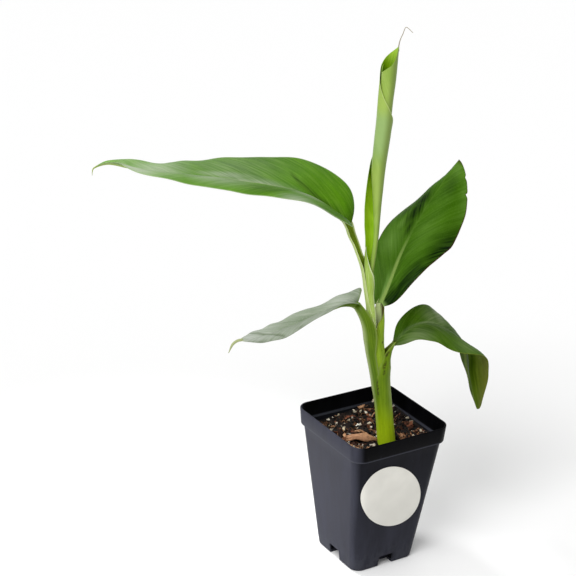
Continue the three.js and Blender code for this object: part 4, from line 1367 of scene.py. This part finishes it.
def make_potted():
    make_pot(pot_look())
    make_label(label_look())
    make_bed(bed_look())
    bark = bark_look()
    crumbs("bark_chips", bark, BARK)
    crumbs("perlite_crumbs", perlite_look(), PERLITE)
    fibres(fibre_look())
    curled_bark(bark)


# Floor, light and camera, in degrees and metres

CAMERA = {
    "azimuth": -32.5, "elevation": 22.3, "roll": 2.3, "distance": 1.372, "aside": -0.0795, "height": 0.254,
    "lens_mm": 100.0, "sensor_mm": 36.0,
}
FLOOR_HALF = 7.0
WORLD_STRENGTH = 0.64
KEY = {"energy": 2.0, "softness": 35, "azimuth": -35, "elevation": 48}
KICKER = {"energy": 44, "cone": 30, "radius": 0.15, "azimuth": -135, "elevation": 62, "away": 0.9}
KICKER_SPOT = Vector((-0.13, 0.1, 0))


def make_floor():
    mesh = bpy.data.meshes.new("floor")
    far = FLOOR_HALF
    mesh.from_pydata([(-far, -far, 0), (far, -far, 0), (far, far, 0), (-far, far, 0)], [], [(0, 1, 2, 3)])
    mesh.materials.append(Look("floor_white", roughness=0.8, specular=0.1).finish(srgb(244, 244, 244)))
    put_in_scene("floor", mesh)


def light_way(lamp):
    """The way to a lamp. Its azimuth turns to the right from the camera's side of the plant."""
    a = math.radians(CAMERA["azimuth"] - 90 + lamp["azimuth"])
    e = math.radians(lamp["elevation"])
    return Vector((math.cos(a) * math.cos(e), math.sin(a) * math.cos(e), math.sin(e)))


def make_lamp(name, kind, settings):
    """A lamp that shines back along its way."""
    data = bpy.data.lights.new(name, kind)
    data.energy = settings["energy"]
    lamp = put_in_scene(name, data)
    lamp.rotation_euler = light_way(settings).to_track_quat("Z", "Y").to_euler()
    return lamp


def make_light():
    """An even white surround, a soft key, and a soft spot on the floor that the pot's left wall mirrors."""
    world = bpy.data.worlds.new("studio")
    world.use_nodes = True
    background = world.node_tree.nodes["Background"]
    background.inputs["Color"].default_value = (1.0, 1.0, 1.0, 1.0)
    background.inputs["Strength"].default_value = WORLD_STRENGTH
    bpy.context.scene.world = world
    key = make_lamp("key", "SUN", KEY)
    key.data.angle = math.radians(KEY["softness"])
    kicker = make_lamp("kicker", "SPOT", KICKER)
    kicker.data.spot_size = math.radians(KICKER["cone"])
    kicker.data.spot_blend = 1.0
    kicker.data.shadow_soft_size = KICKER["radius"]
    kicker.location = KICKER_SPOT + light_way(KICKER) * KICKER["away"]
    bpy.context.scene.view_settings.view_transform = "Standard"


def make_camera():
    data = bpy.data.cameras.new("camera")
    data.lens = CAMERA["lens_mm"]
    data.sensor_width = CAMERA["sensor_mm"]
    camera = put_in_scene("camera", data)
    az, el, roll = (math.radians(CAMERA[key]) for key in ("azimuth", "elevation", "roll"))
    right = Vector((math.cos(az), math.sin(az), 0))
    back = Vector((math.sin(az) * math.cos(el), -math.cos(az) * math.cos(el), math.sin(el)))
    up = back.cross(right)
    x = right * math.cos(roll) + up * math.sin(roll)
    y = up * math.cos(roll) - right * math.sin(roll)
    turn = Matrix((x, y, back)).transposed()
    place = right * CAMERA["aside"] + Vector((0, 0, CAMERA["height"])) + back * CAMERA["distance"]
    camera.matrix_world = Matrix.Translation(place) @ turn.to_4x4()
    bpy.context.scene.camera = camera


make_camera()
make_light()
make_floor()
make_plant()
make_potted()
